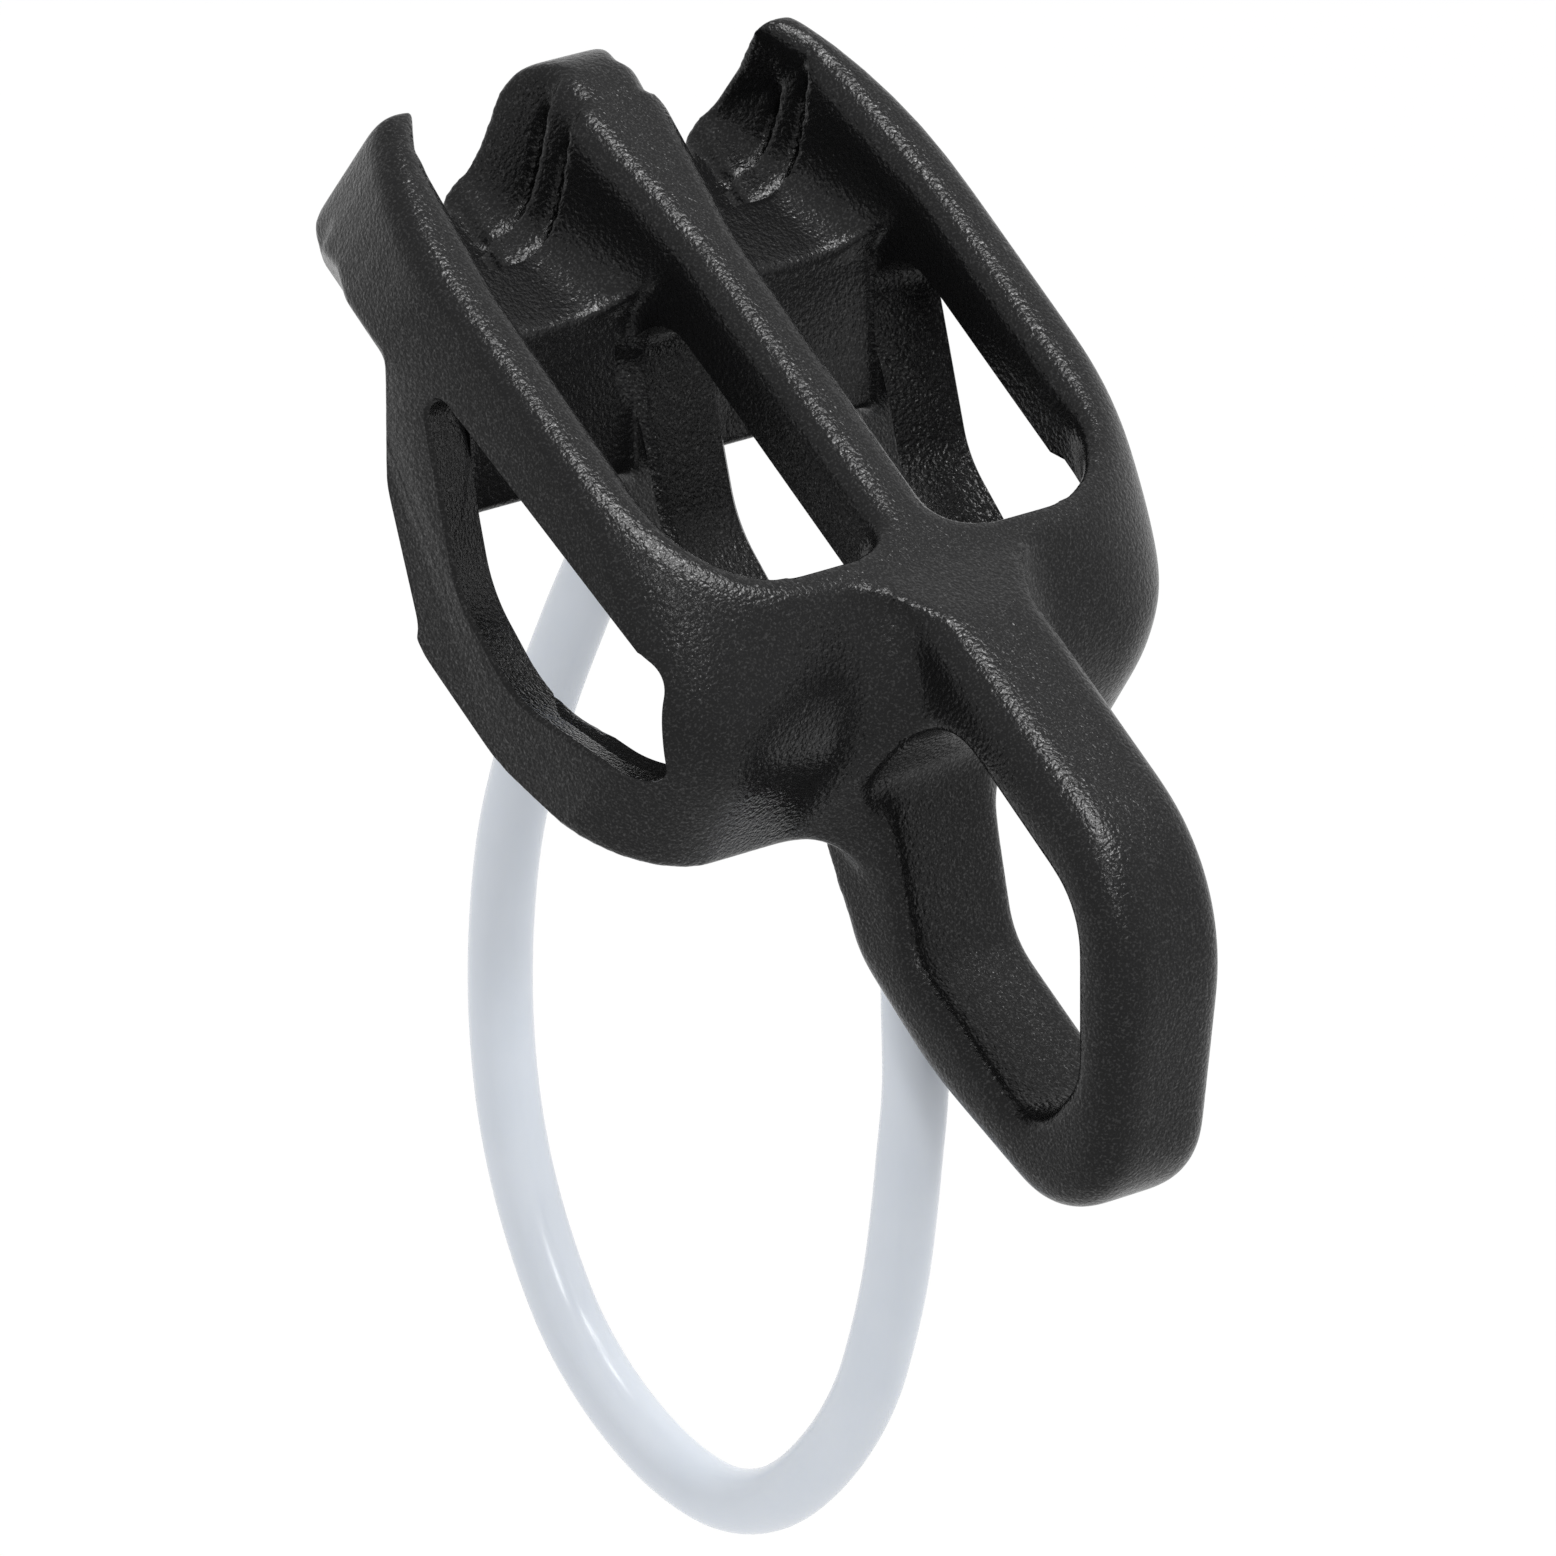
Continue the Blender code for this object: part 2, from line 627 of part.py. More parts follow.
def smooth_route(spacing):
    """Points at an even spacing on a smooth curve through the route's own points, and its length."""
    route = route_points()
    padded = [2 * route[0] - route[1], *route, 2 * route[-1] - route[-2]]
    fine = [route[0]]
    for around in zip(padded, padded[1:], padded[2:], padded[3:]):
        fine += [on_curve(*around, step / FINE_STEPS) for step in range(1, FINE_STEPS + 1)]
    lengths = [0.0]
    for start, end in zip(fine, fine[1:]):
        lengths.append(lengths[-1] + (end - start).length)
    count = round(lengths[-1] / spacing)
    points = []
    index = 0
    for step in range(count + 1):
        want = lengths[-1] * step / count
        while index < len(fine) - 2 and lengths[index + 1] < want:
            index += 1
        share = (want - lengths[index]) / (lengths[index + 1] - lengths[index])
        points.append(fine[index].lerp(fine[index + 1], share))
    return points, lengths[-1]


def tube(name, points, radii):
    """A round tube along points, as a mesh, with a radius at each point."""
    curve = bpy.data.curves.new(name, "CURVE")
    curve.dimensions = "3D"
    curve.bevel_depth = 1.0
    curve.bevel_resolution = 2
    curve.use_fill_caps = True
    spline = curve.splines.new("POLY")
    spline.points.add(len(points) - 1)
    for place, point, radius in zip(spline.points, points, radii):
        place.co = (*point, 1)
        place.radius = radius
    guide = bpy.data.objects.new(name + "_guide", curve)
    bpy.context.scene.collection.objects.link(guide)
    bpy.context.view_layer.update()
    mesh = bpy.data.meshes.new_from_object(guide)
    bpy.data.objects.remove(guide)
    data = bmesh.new()
    data.from_mesh(mesh)
    bmesh.ops.remove_doubles(data, verts=data.verts, dist=1e-6)
    bpy.data.meshes.remove(mesh)
    return link_mesh(name, data)


def domed(points, radius):
    """The points and radii of a tube that ends in half balls centred on its end points."""
    angles = [math.radians(degrees) for degrees in (75, 50, 25)]
    before = [points[0] + (points[0] - points[1]).normalized() * radius * math.sin(a) for a in angles]
    after = [points[-1] + (points[-1] - points[-2]).normalized() * radius * math.sin(a) for a in angles]
    shrink = [radius * math.cos(a) for a in angles]
    after.reverse()
    return before + points + after, shrink + [radius] * len(points) + shrink[::-1]


def keeper_loop():
    """The steel wire of the keeper and the plastic sleeve moulded over it."""
    points, length = smooth_route(LOOP_STEP)
    sleeve = tube("keeper_sleeve", points, [LOOP_DIAMETER / 2] * len(points))
    first = points[0] + (points[0] - points[1]).normalized() * LOOP_DIAMETER
    last = points[-1] + (points[-1] - points[-2]).normalized() * LOOP_DIAMETER
    bore = tube("sleeve_bore", [first, *points, last], [WIRE_DIAMETER / 2 + CLEARANCE] * (len(points) + 2))
    combine(sleeve, bore, "DIFFERENCE")
    sleeve.data.materials.append(material("pale_plastic", (0.62, 0.66, 0.72), 0.22, 0.0))
    wire = tube("keeper_wire", *domed(points, WIRE_DIAMETER / 2))
    wire.data.materials.append(material("steel_wire", (0.55, 0.56, 0.58), 0.35, 1.0))
    return sleeve, wire, length


def ferrule(place, mouth, out):
    """A swaged steel end in a bore, just clear of the end of the wire."""
    seat = mouth - out * (BORE_DEPTH - CLEARANCE)
    made = rod(f"{place}_ferrule", LOOP_DIAMETER / 2, seat, seat + out * FERRULE_LENGTH)
    made.data.materials.append(material(f"{place}_ferrule_steel", (0.5, 0.5, 0.52), 0.3, 1.0))
    return made


for old in list(bpy.data.objects):
    bpy.data.objects.remove(old, do_unlink=True)
body = body_forging()
keeper_sleeve, keeper_wire, loop_length = keeper_loop()
for end_place, end_mouth, end_out in keeper_ends():
    ferrule(end_place, end_mouth, end_out)
for solid in (body, keeper_sleeve, keeper_wire):
    solid.data.shade_smooth()
print(f"keeper loop {loop_length * 1000:.1f} mm between its bores")
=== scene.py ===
"""The looks of a tube-style belay device: a black forged body with a pale keeper loop under it."""

import json
import math

import bmesh
import bpy
from mathutils import Matrix, Quaternion, Vector

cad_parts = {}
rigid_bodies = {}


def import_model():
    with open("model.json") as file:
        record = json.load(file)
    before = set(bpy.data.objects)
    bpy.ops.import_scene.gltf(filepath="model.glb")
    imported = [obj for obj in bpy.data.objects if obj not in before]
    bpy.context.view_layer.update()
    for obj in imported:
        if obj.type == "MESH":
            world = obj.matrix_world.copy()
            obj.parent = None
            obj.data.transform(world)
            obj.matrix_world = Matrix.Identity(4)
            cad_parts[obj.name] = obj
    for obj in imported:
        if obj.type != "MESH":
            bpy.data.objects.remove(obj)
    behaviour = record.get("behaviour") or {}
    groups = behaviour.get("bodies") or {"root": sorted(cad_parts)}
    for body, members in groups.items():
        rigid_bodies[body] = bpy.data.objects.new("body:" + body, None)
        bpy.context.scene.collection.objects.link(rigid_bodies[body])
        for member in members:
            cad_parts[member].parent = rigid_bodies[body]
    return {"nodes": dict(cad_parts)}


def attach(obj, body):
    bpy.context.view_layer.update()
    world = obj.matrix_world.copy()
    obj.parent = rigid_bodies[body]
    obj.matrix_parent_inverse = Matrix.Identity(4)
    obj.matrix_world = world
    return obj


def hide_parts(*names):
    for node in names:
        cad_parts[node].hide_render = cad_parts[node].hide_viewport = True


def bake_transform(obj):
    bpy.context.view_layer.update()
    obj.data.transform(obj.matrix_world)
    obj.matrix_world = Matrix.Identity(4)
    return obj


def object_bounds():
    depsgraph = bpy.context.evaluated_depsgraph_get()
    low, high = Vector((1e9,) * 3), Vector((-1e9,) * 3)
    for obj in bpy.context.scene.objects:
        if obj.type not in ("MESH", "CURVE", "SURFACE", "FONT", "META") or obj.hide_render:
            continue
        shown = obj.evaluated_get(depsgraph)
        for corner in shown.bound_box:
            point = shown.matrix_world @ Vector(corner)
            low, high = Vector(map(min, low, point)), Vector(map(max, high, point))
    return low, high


for leftover in list(bpy.data.objects):
    bpy.data.objects.remove(leftover, do_unlink=True)
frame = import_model()
cad_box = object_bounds()


# Forged body: one piece of aluminium alloy, hot forged between dies, trimmed, bead blasted and black
# anodised. The dies leave its rails, channels, neck and eye round. The cheeks, the windows and the bores of
# the loop are cut after forging, so their edges stay crisp.

MM = 0.001
SLOT_WIDTH = 13.9 * MM
WEB = 6.2 * MM
WEB_CROWN = 4.8 * MM
WALL = 4.3 * MM
EYE_PLATE = 9.4 * MM
HALF_WIDTH = WEB / 2 + SLOT_WIDTH + WALL
SLOT_MIDDLE = WEB / 2 + SLOT_WIDTH / 2

# Heights, with the rope face measured from the centre of the eye and the rest down from the rope face
ROPE_FACE = 9.7 * MM
BODY_DEPTH = 19.9 * MM
HEEL_DEPTH = 11.8 * MM
CHIN_DEPTH = 16.3 * MM
BROW_DEPTH = 5.6 * MM

# Distances behind the centre of the eye
REAR_END = 64.1 * MM
HEEL_REAR = 58.9 * MM
HEEL_FRONT = 47.8 * MM
KEEL_REAR = 35.8 * MM
KEEL_FRONT = 25.2 * MM
BOW_CREST = 21.8 * MM
BOW_BROW = 13.7 * MM
BOW_CHIN = 12.2 * MM

# Radii of the side outline, from the tail forward, and of the bow
TAIL_RADIUS = 3.5 * MM
HEEL_REAR_RADIUS = 3.0 * MM
HEEL_FRONT_RADIUS = 8.0 * MM
KEEL_REAR_RADIUS = 9.0 * MM
KEEL_FRONT_RADIUS = 12.0 * MM
BOW_RADIUS = 11.0 * MM

# Rounding of the rails' crests, and of the edges of the neck and the ring
CREST_RADIUS = 1.7 * MM
PLATE_RADIUS = 2.3 * MM
CREST_SHARES = (0, 0.05, 0.13, 0.25, 0.4, 0.65, 1)

# Plan corners of the body: across and along
BOW_CORNER_TOP = (11.0 * MM, 14.0 * MM)
BOW_CORNER_LOW = (6.8 * MM, 8.0 * MM)
TAIL_CORNER = (12.4 * MM, 20.2 * MM)

# Slope under the outer edges of the heel, and where it steepens to the tips of the tail
BILGE = 4.2 * MM
BILGE_STEEPENS = 55.2 * MM
BILGE_TIP = 57.8 * MM
BILGE_SLOPES = (10, 3.3, 1.4, 1, 0.25)

# Rope slots
RAMP_TOP = 45.8 * MM
RAMP_TOP_DEPTH = 6.5 * MM
RAMP_FOOT = 39.2 * MM
RAMP_FOOT_DEPTH = 14.3 * MM
RAMP_THICK = 3.0 * MM
SLOT_FRONT_TOP = 22.4 * MM
SLOT_FRONT_LOW = 17.6 * MM
SLOT_FRONT_BEND = 7.0 * MM
SLOT_FRONT_RADIUS = 8.0 * MM
SLOT_FRONT_OPENS = 0.7
SLOT_CORNER_TOP = (8.0 * MM, 8.5 * MM)
SLOT_CORNER_LOW = (3.2 * MM, 3.2 * MM)
SLOT_INNER_CORNER = (5.0 * MM, 3.0 * MM)

# Friction channels, stepped from the saddle back to the tail, with a groove at the foot of each step
CHANNEL_FLOOR = 2.4 * MM
CHANNEL_MOUTH = 5.1 * MM
SADDLE_DEPTH = 6.1 * MM
SADDLE_FALL = 2.8 * MM
TROUGH_POWER = 3.2
TROUGH_LEVELS = (0.4, 0.52, 0.64, 0.74, 0.82, 0.89, 0.94, 0.97, 0.99, 1)
CHANNEL_SPANS = 10
STEP_DEPTH = 0.7 * MM
STEP_WIDEN = 0.9 * MM
STEP_GROOVE = 0.7 * MM
TAIL_WALL = 2.8 * MM
TAIL_WALL_LOW = 1.6 * MM
STEP_TOPS = (57.7 * MM, 60.4 * MM)
STEP_FLOORS = (51.5 * MM, 54.6 * MM)
TAIL_NOTCH = 58.0 * MM
TAIL_TIPS = 60.0 * MM

# Side windows: corners as distance behind the eye, depth below the rope face and radius
WINDOW_TAIL = (45.4 * MM, 5.8 * MM, 1.2 * MM)
WINDOW_BROW = (19.7 * MM, 4.1 * MM, 2.5 * MM)
WINDOW_FRONT = (15.6 * MM, 10.2 * MM, 1.2 * MM)
SILL_FRONT = 4.6 * MM
SILL_REAR = 5.7 * MM
WINDOW_SILL_FRONT = (26.9 * MM, BODY_DEPTH - SILL_FRONT, 8.0 * MM)
WINDOW_SILL_REAR = (34.1 * MM, BODY_DEPTH - SILL_REAR, 7.0 * MM)
WINDOW_FLARE = 2.0 * MM
WEB_FLARE = 1.2 * MM
WEB_CHAMFER = 0.6 * MM

# Opening of a window's front end into the slot: how far it draws in at the wall and at its far end, how far
# in that end lies, and how far below the window it goes in front and behind
CORNER_DRAW = 0.6 * MM
CORNER_DRAW_FAR = 2.2 * MM
CORNER_REACH = 3.2 * MM
CORNER_SINK_FRONT = 1.2 * MM
CORNER_SINK_REAR = 4.2 * MM

# Anchor eye and the outline of the ring and neck round it: corners as distance behind the middle of the
# eye, height above it and radius
EYE_CORNERS = (
    (12.0 * MM, 6.6 * MM, 3.5 * MM),
    (-3.4 * MM, 6.4 * MM, 6.0 * MM),
    (-10.3 * MM, -2.2 * MM, 3.5 * MM),
    (-9.9 * MM, -7.9 * MM, 3.0 * MM),
    (3.0 * MM, -7.9 * MM, 5.0 * MM),
    (12.0 * MM, -0.9 * MM, 2.8 * MM),
)
RING_CORNERS = (
    (21.2 * MM, 8.7 * MM, 0),
    (15.6 * MM, 10.95 * MM, 10.0 * MM),
    (-6.7 * MM, 10.95 * MM, 14.0 * MM),
    (-19.6 * MM, -10.6 * MM, 5.5 * MM),
    (-2.0 * MM, -12.9 * MM, 25.0 * MM),
    (8.0 * MM, -12.3 * MM, 6.5 * MM),
    (11.4 * MM, -6.6 * MM, 2.0 * MM),
    (21.2 * MM, -6.6 * MM, 0),
)
EYE_EDGE = 1.2 * MM
NECK_RISE = 1.25 * MM
CROWN_SHARES = (0.97, 0.85, 0.7, 0.55, 0.4, 0.25, 0.1, 0)
NECK_CREST = 15.0 * MM
NECK_FILLET_TOP = 4.2 * MM
NECK_FILLET_LOW = 5.0 * MM

# Forging: the grain and the passes that round the raw shape, where the rounding lessens, and the cuts made
# after it, with some room past the edge of what they cut
FORGE_GRAIN = 0.22 * MM
FORGE_PASSES = 54
STEP_PASSES = 14
KEPT_FACES = 0.38
FULLY_ROUNDED = 46.0 * MM
LESS_ROUNDED = 50.0 * MM
TIP_ROUNDING = 0.7
CUT_CHAMFER = 0.25 * MM
CRISP_TURN = math.radians(28)
BEYOND = 6 * MM
TRIM = 0.25 * MM

# Bores for the loop's ends, and the middle of the loop from the rear bore round to the front bore, as
# distance behind the eye and height above it
LOOP_DIAMETER = 4.1 * MM
BOSS_DIAMETER = 7.6 * MM
BORE_DEPTH = 6.0 * MM
STAND_OFF = 1.0 * MM
CLEARANCE = 0.3 * MM
ROUTE = [
    (0.0403, -0.0118), (0.0397, -0.0150), (0.0388, -0.0200), (0.0373, -0.0265), (0.0352, -0.0329),
    (0.0331, -0.0375), (0.0298, -0.0427), (0.0260, -0.0473), (0.0217, -0.0512), (0.0168, -0.0543),
    (0.0113, -0.0566), (0.0067, -0.0574), (0.0021, -0.0572), (-0.0021, -0.0561), (-0.0056, -0.0541),
    (-0.0080, -0.0511), (-0.0093, -0.0473), (-0.0097, -0.0425), (-0.0092, -0.0379), (-0.0079, -0.0338),
    (-0.0062, -0.0298), (-0.0042, -0.0261), (-0.0021, -0.0226), (0.0004, -0.0186), (0.0036, -0.0147),
    (0.0053, -0.0127),
]


def height(depth):
    """Height above the eye of a point given by its depth below the rope face."""
    return ROPE_FACE - depth


def rounded(corners, closed=True, steps=10):
    """Points of an outline whose corners, each (along, up, radius), are rounded by arcs."""
    points = []
    count = len(corners)
    for index, (along, up, radius) in enumerate(corners):
        here = Vector((along, up))
        at_end = not closed and index in (0, count - 1)
        if radius == 0 or at_end:
            points.append(here)
            continue
        back = Vector(corners[index - 1][:2]) - here
        ahead = Vector(corners[(index + 1) % count][:2]) - here
        half = back.angle(ahead) / 2
        reach = min(radius / math.tan(half), 0.48 * back.length, 0.48 * ahead.length)
        radius = reach * math.tan(half)
        middle = (back.normalized() + ahead.normalized()).normalized()
        centre = here + middle * radius / math.sin(half)
        first = here + back.normalized() * reach - centre
        last = here + ahead.normalized() * reach - centre
        sweep = first.angle_signed(last)
        for step in range(steps + 1):
            turn = Matrix.Rotation(-sweep * step / steps, 2)
            points.append(centre + turn @ first)
    return points


def grown(corners, amount):
    """The same corners moved out by an amount, with their radii grown to match."""
    count = len(corners)
    moved = []
    for index, (along, up, radius) in enumerate(corners):
        here = Vector((along, up))
        back = (Vector(corners[index - 1][:2]) - here).normalized()
        ahead = (Vector(corners[(index + 1) % count][:2]) - here).normalized()
        half = back.angle(ahead) / 2
        there = here - (back + ahead).normalized() * amount / math.sin(half)
        moved.append((there.x, there.y, max(radius + amount, 0)))
    return moved


def quarter(centre, across, along, start, steps=12):
    """Points of a quarter ellipse from the angle start, in quarters of a turn, one quarter on."""
    points = []
    for step in range(steps + 1):
        angle = (start + step / steps) * math.pi / 2
        points.append((centre[0] + across * math.cos(angle), centre[1] + along * math.sin(angle)))
    return points


def corner_at(top, low, up):
    """A plan corner, across and along, that goes from its size at the rope face to that at the brow."""
    share = min(max((ROPE_FACE - up) / BROW_DEPTH, 0), 1)
    return [wide + share * (narrow - wide) for wide, narrow in zip(top, low)]


def drawn_in(radius, depth):
    """How far a rounded edge draws in at a depth below its crest."""
    left = radius - min(max(depth, 0), radius)
    return radius - math.sqrt(radius**2 - left**2)


def crest_levels():
    """Heights at which the rounded crests of the rails are drawn."""
    return [height(share * CREST_RADIUS) for share in CREST_SHARES]


def read_across(line, up):
    """How far along an open line lies at a height, with the line carried on straight past its ends."""
    for (along_a, up_a), (along_b, up_b) in zip(line, line[1:]):
        last = (along_b, up_b) == tuple(line[-1])
        if up >= up_b or last:
            share = (up - up_a) / (up_b - up_a)
            return along_a + share * (along_b - along_a)
    return line[-1][0]


def link_mesh(name, mesh_data):
    """An object from a bmesh, cut into triangles and with its faces turned out."""
    bmesh.ops.triangulate(mesh_data, faces=mesh_data.faces)
    bmesh.ops.recalc_face_normals(mesh_data, faces=mesh_data.faces)
    if mesh_data.calc_volume(signed=True) < 0:
        bmesh.ops.reverse_faces(mesh_data, faces=mesh_data.faces)
    mesh = bpy.data.meshes.new(name)
    mesh_data.to_mesh(mesh)
    mesh_data.free()
    made = bpy.data.objects.new(name, mesh)
    bpy.context.scene.collection.objects.link(made)
    return made


def loft(name, rings):
    """A closed solid through rings of equally many points, capped at both ends."""
    data = bmesh.new()
    loops = [[data.verts.new(point) for point in ring] for ring in rings]
    count = len(loops[0])
    for lower, upper in zip(loops, loops[1:]):
        for index in range(count):
            after = (index + 1) % count
            data.faces.new((lower[index], lower[after], upper[after], upper[index]))
    data.faces.new(loops[0])
    data.faces.new(loops[-1])
    return link_mesh(name, data)


def across(outline, x):
    """A side outline, as points (along, up), placed at one distance across the device."""
    return [Vector((x, along, up)) for along, up in outline]


def side_prism(name, outline, x_low, x_high):
    return loft(name, [across(outline, x_low), across(outline, x_high)])


def rod(name, radius, start, end, sides=48):
    """A plain round bar between two points."""
    data = bmesh.new()
    length = (end - start).length
    bmesh.ops.create_cone(
        data, cap_ends=True, segments=sides, radius1=radius, radius2=radius, depth=length
    )
    turn = Vector((0, 0, 1)).rotation_difference(end - start).to_matrix().to_4x4()
    place = Matrix.Translation((start + end) / 2) @ turn
    bmesh.ops.transform(data, matrix=place, verts=data.verts)
    return link_mesh(name, data)


def bow_line():
    """The front of the body from the crest of the rails down to the chin, as (along, up) points."""
    corners = [
        (BOW_CREST, ROPE_FACE + 6 * TRIM, 0),
        (BOW_BROW, height(BROW_DEPTH), BOW_RADIUS),
        (BOW_CHIN, height(BODY_DEPTH) - BEYOND, 0),
    ]
    return rounded(corners, closed=False)


def slot_front_line():
    """The front wall of a rope slot, which follows the bow, as (along, up) points."""
    lean = SLOT_FRONT_TOP - SLOT_FRONT_LOW
    corners = [
        (SLOT_FRONT_TOP + SLOT_FRONT_OPENS * lean, ROPE_FACE + BEYOND, 0),
        (SLOT_FRONT_LOW, height(SLOT_FRONT_BEND), SLOT_FRONT_RADIUS),
        (SLOT_FRONT_LOW - 2 * TRIM, height(BODY_DEPTH) - BEYOND, 0),
    ]
    return rounded(corners, closed=False)


def hull():
    """The raw outer shape: plan outlines that follow the bow, trimmed to the side outline."""
    half = HALF_WIDTH + TRIM
    tail_across, tail_along = TAIL_CORNER
    tail = REAR_END + 3 * TRIM
    rings = []
    for up in sorted({*(up for _, up in bow_line()), *crest_levels()}, reverse=True):
        front = read_across(bow_line(), up)
        bow_across, bow_along = corner_at(BOW_CORNER_TOP, BOW_CORNER_LOW, up)
        outer = half - drawn_in(CREST_RADIUS, ROPE_FACE - up)
        right = quarter((outer - bow_across, front + bow_along), bow_across, bow_along, 3)
        right += quarter((outer - tail_across, tail - tail_along), tail_across, tail_along, 0)
        left = [(-x, along) for x, along in reversed(right)]
        rings.append([Vector((x, along, up)) for x, along in right + left])
    made = loft("forged_body", rings)
    side = [
        (0, ROPE_FACE, 0),
        (REAR_END, ROPE_FACE, TAIL_RADIUS),
        (HEEL_REAR, height(HEEL_DEPTH), HEEL_REAR_RADIUS),
        (HEEL_FRONT, height(HEEL_DEPTH), HEEL_FRONT_RADIUS),
        (KEEL_REAR, height(BODY_DEPTH), KEEL_REAR_RADIUS),
        (KEEL_FRONT, height(BODY_DEPTH), KEEL_FRONT_RADIUS),
        (BOW_CHIN, height(CHIN_DEPTH), 0),
        (0, height(CHIN_DEPTH), 0),
    ]
    trim = side_prism("side_outline", rounded(side), -half - BEYOND, half + BEYOND)
    combine(made, "INTERSECT", trim)
    combine(made, "DIFFERENCE", bilge(-1), bilge(1))
    return made


def bilge(side):
    """The cutter for the sloped lower edge of the heel, which runs out at the keel."""
    stations = (
        (REAR_END + BEYOND, HEEL_DEPTH),
        (BILGE_TIP, HEEL_DEPTH),
        (BILGE_STEEPENS, HEEL_DEPTH),
        (HEEL_FRONT, HEEL_DEPTH),
        (KEEL_REAR - 2 * TRIM, BODY_DEPTH),
    )
    rings = []
    for (along, depth), slope in zip(stations, BILGE_SLOPES):
        under = height(depth)
        section = [
            (HALF_WIDTH - BILGE, under),
            (HALF_WIDTH + BEYOND, under + slope * BILGE + slope * BEYOND),
            (HALF_WIDTH + BEYOND, under - BEYOND),
            (HALF_WIDTH - BILGE, under - BEYOND),
        ]
        rings.append([Vector((side * x, along, up)) for x, up in section])
    return loft(f"bilge_{'left' if side < 0 else 'right'}", rings)


def edge_stations(radius):
    """Places across the plate of the eye, each with how far a rounded edge draws in there."""
    face = EYE_PLATE / 2
    right = [(face - share * radius, drawn_in(radius, share * radius)) for share in CREST_SHARES]
    return right + [(-x, inset) for x, inset in reversed(right)]


def eye_cutter():
    """The cutter for the eye, rounded over at both faces of the plate but not where it meets the bow."""
    stations = [(HALF_WIDTH, EYE_EDGE), *edge_stations(EYE_EDGE), (-HALF_WIDTH, EYE_EDGE)]
    rear = EYE_CORNERS[0][0]
    rings = []
    for x, inset in stations:
        opened = grown(EYE_CORNERS, inset)
        corners = [(min(along, rear), up, radius) for along, up, radius in opened]
        rings.append(across(rounded(corners), x))
    return loft("eye", rings)


def ring_plate():
    """The neck and the ring round the eye, one plate standing in the middle plane."""
    stations = edge_stations(PLATE_RADIUS)
    return loft("ring_plate", [across(rounded(grown(RING_CORNERS, -inset)), x) for x, inset in stations])


def neck_flare():
    """Concave fillets, which follow the bow, between the ring plate and the shoulders."""
    rings = []
    low = height(CHIN_DEPTH) + TRIM
    crown = [ROPE_FACE + share * NECK_RISE for share in CROWN_SHARES]
    for up in [*crown, *(up for _, up in bow_line() if low < up < ROPE_FACE), low]:
        rise = max(up - ROPE_FACE, 0) / NECK_RISE
        foot = read_across(bow_line(), min(up, ROPE_FACE)) + TRIM / 8
        base = foot + rise * (NECK_CREST - foot)
        (fillet,) = corner_at((NECK_FILLET_TOP,), (NECK_FILLET_LOW,), up)
        fillet *= 1 - rise
        half = EYE_PLATE / 2 - drawn_in(PLATE_RADIUS, ROPE_FACE + NECK_RISE - up)
        right = quarter((half + fillet, base - fillet), -fillet, fillet, 0)
        left = [(-x, along) for x, along in reversed(right)]
        rings.append([Vector((x, along, up)) for x, along in right + left])
    return loft("neck_flare", rings)


def rope_slot(side):
    """The cutter for one rope slot: a ramp behind, a wall that follows the bow in front."""
    slope = (RAMP_TOP - RAMP_FOOT) / (RAMP_FOOT_DEPTH - RAMP_TOP_DEPTH)
    lean = math.hypot(slope, 1)
    ramp = [
        (RAMP_TOP, ROPE_FACE + BEYOND),
        (RAMP_TOP, height(RAMP_TOP_DEPTH)),
        (RAMP_FOOT, height(RAMP_FOOT_DEPTH)),
        (RAMP_FOOT + RAMP_THICK / lean, height(RAMP_FOOT_DEPTH + RAMP_THICK * slope / lean)),
        (RAMP_FOOT + 2 * RAMP_THICK, height(BODY_DEPTH) - BEYOND),
    ]
    front = slot_front_line()
    lines = ramp + [tuple(point) for point in front]
    levels = sorted({*(up for _, up in lines), *crest_levels()}, reverse=True)
    rings = []
    for up in levels:
        back = read_across(ramp, up)
        wall = read_across(front, up)
        corner_across, corner_along = corner_at(SLOT_CORNER_TOP, SLOT_CORNER_LOW, up)
        crest = drawn_in(CREST_RADIUS, ROPE_FACE - up)
        inner = corner_at((WEB_CROWN / 2,), (WEB / 2,), up)[0] - crest
        outer = WEB / 2 + SLOT_WIDTH + crest
        near_across, near_along = SLOT_INNER_CORNER
        outline = [(inner, back)]
        outline += quarter((inner + near_across, wall + near_along), near_across, near_along, 2)
        outline += quarter((outer - corner_across, wall + corner_along), corner_across, corner_along, 3)
        outline += [(outer, back)]
        rings.append([Vector((side * x, along, up)) for x, along in outline])
    return loft(f"rope_slot_{'left' if side < 0 else 'right'}", rings)


def channel_depth(along, step):
    share = min(max((along - RAMP_TOP) / (REAR_END - RAMP_TOP), 0), 1)
    return share, SADDLE_DEPTH + share * SADDLE_FALL + step * STEP_DEPTH


def channel_wall(along, step, down):
    """Half a channel's width at a depth: a trough at the saddle, a V at the tail, rounded at the crests."""
    share, depth = channel_depth(along, step)
    level = min(max(down / depth, 0), 1)
    trough = SLOT_WIDTH / 2 * (1 - level**TROUGH_POWER) ** (1 / TROUGH_POWER)
    vee = CHANNEL_MOUTH + level * (CHANNEL_FLOOR - CHANNEL_MOUTH)
    return trough + share * (vee - trough) + step * STEP_WIDEN + drawn_in(CREST_RADIUS, down)


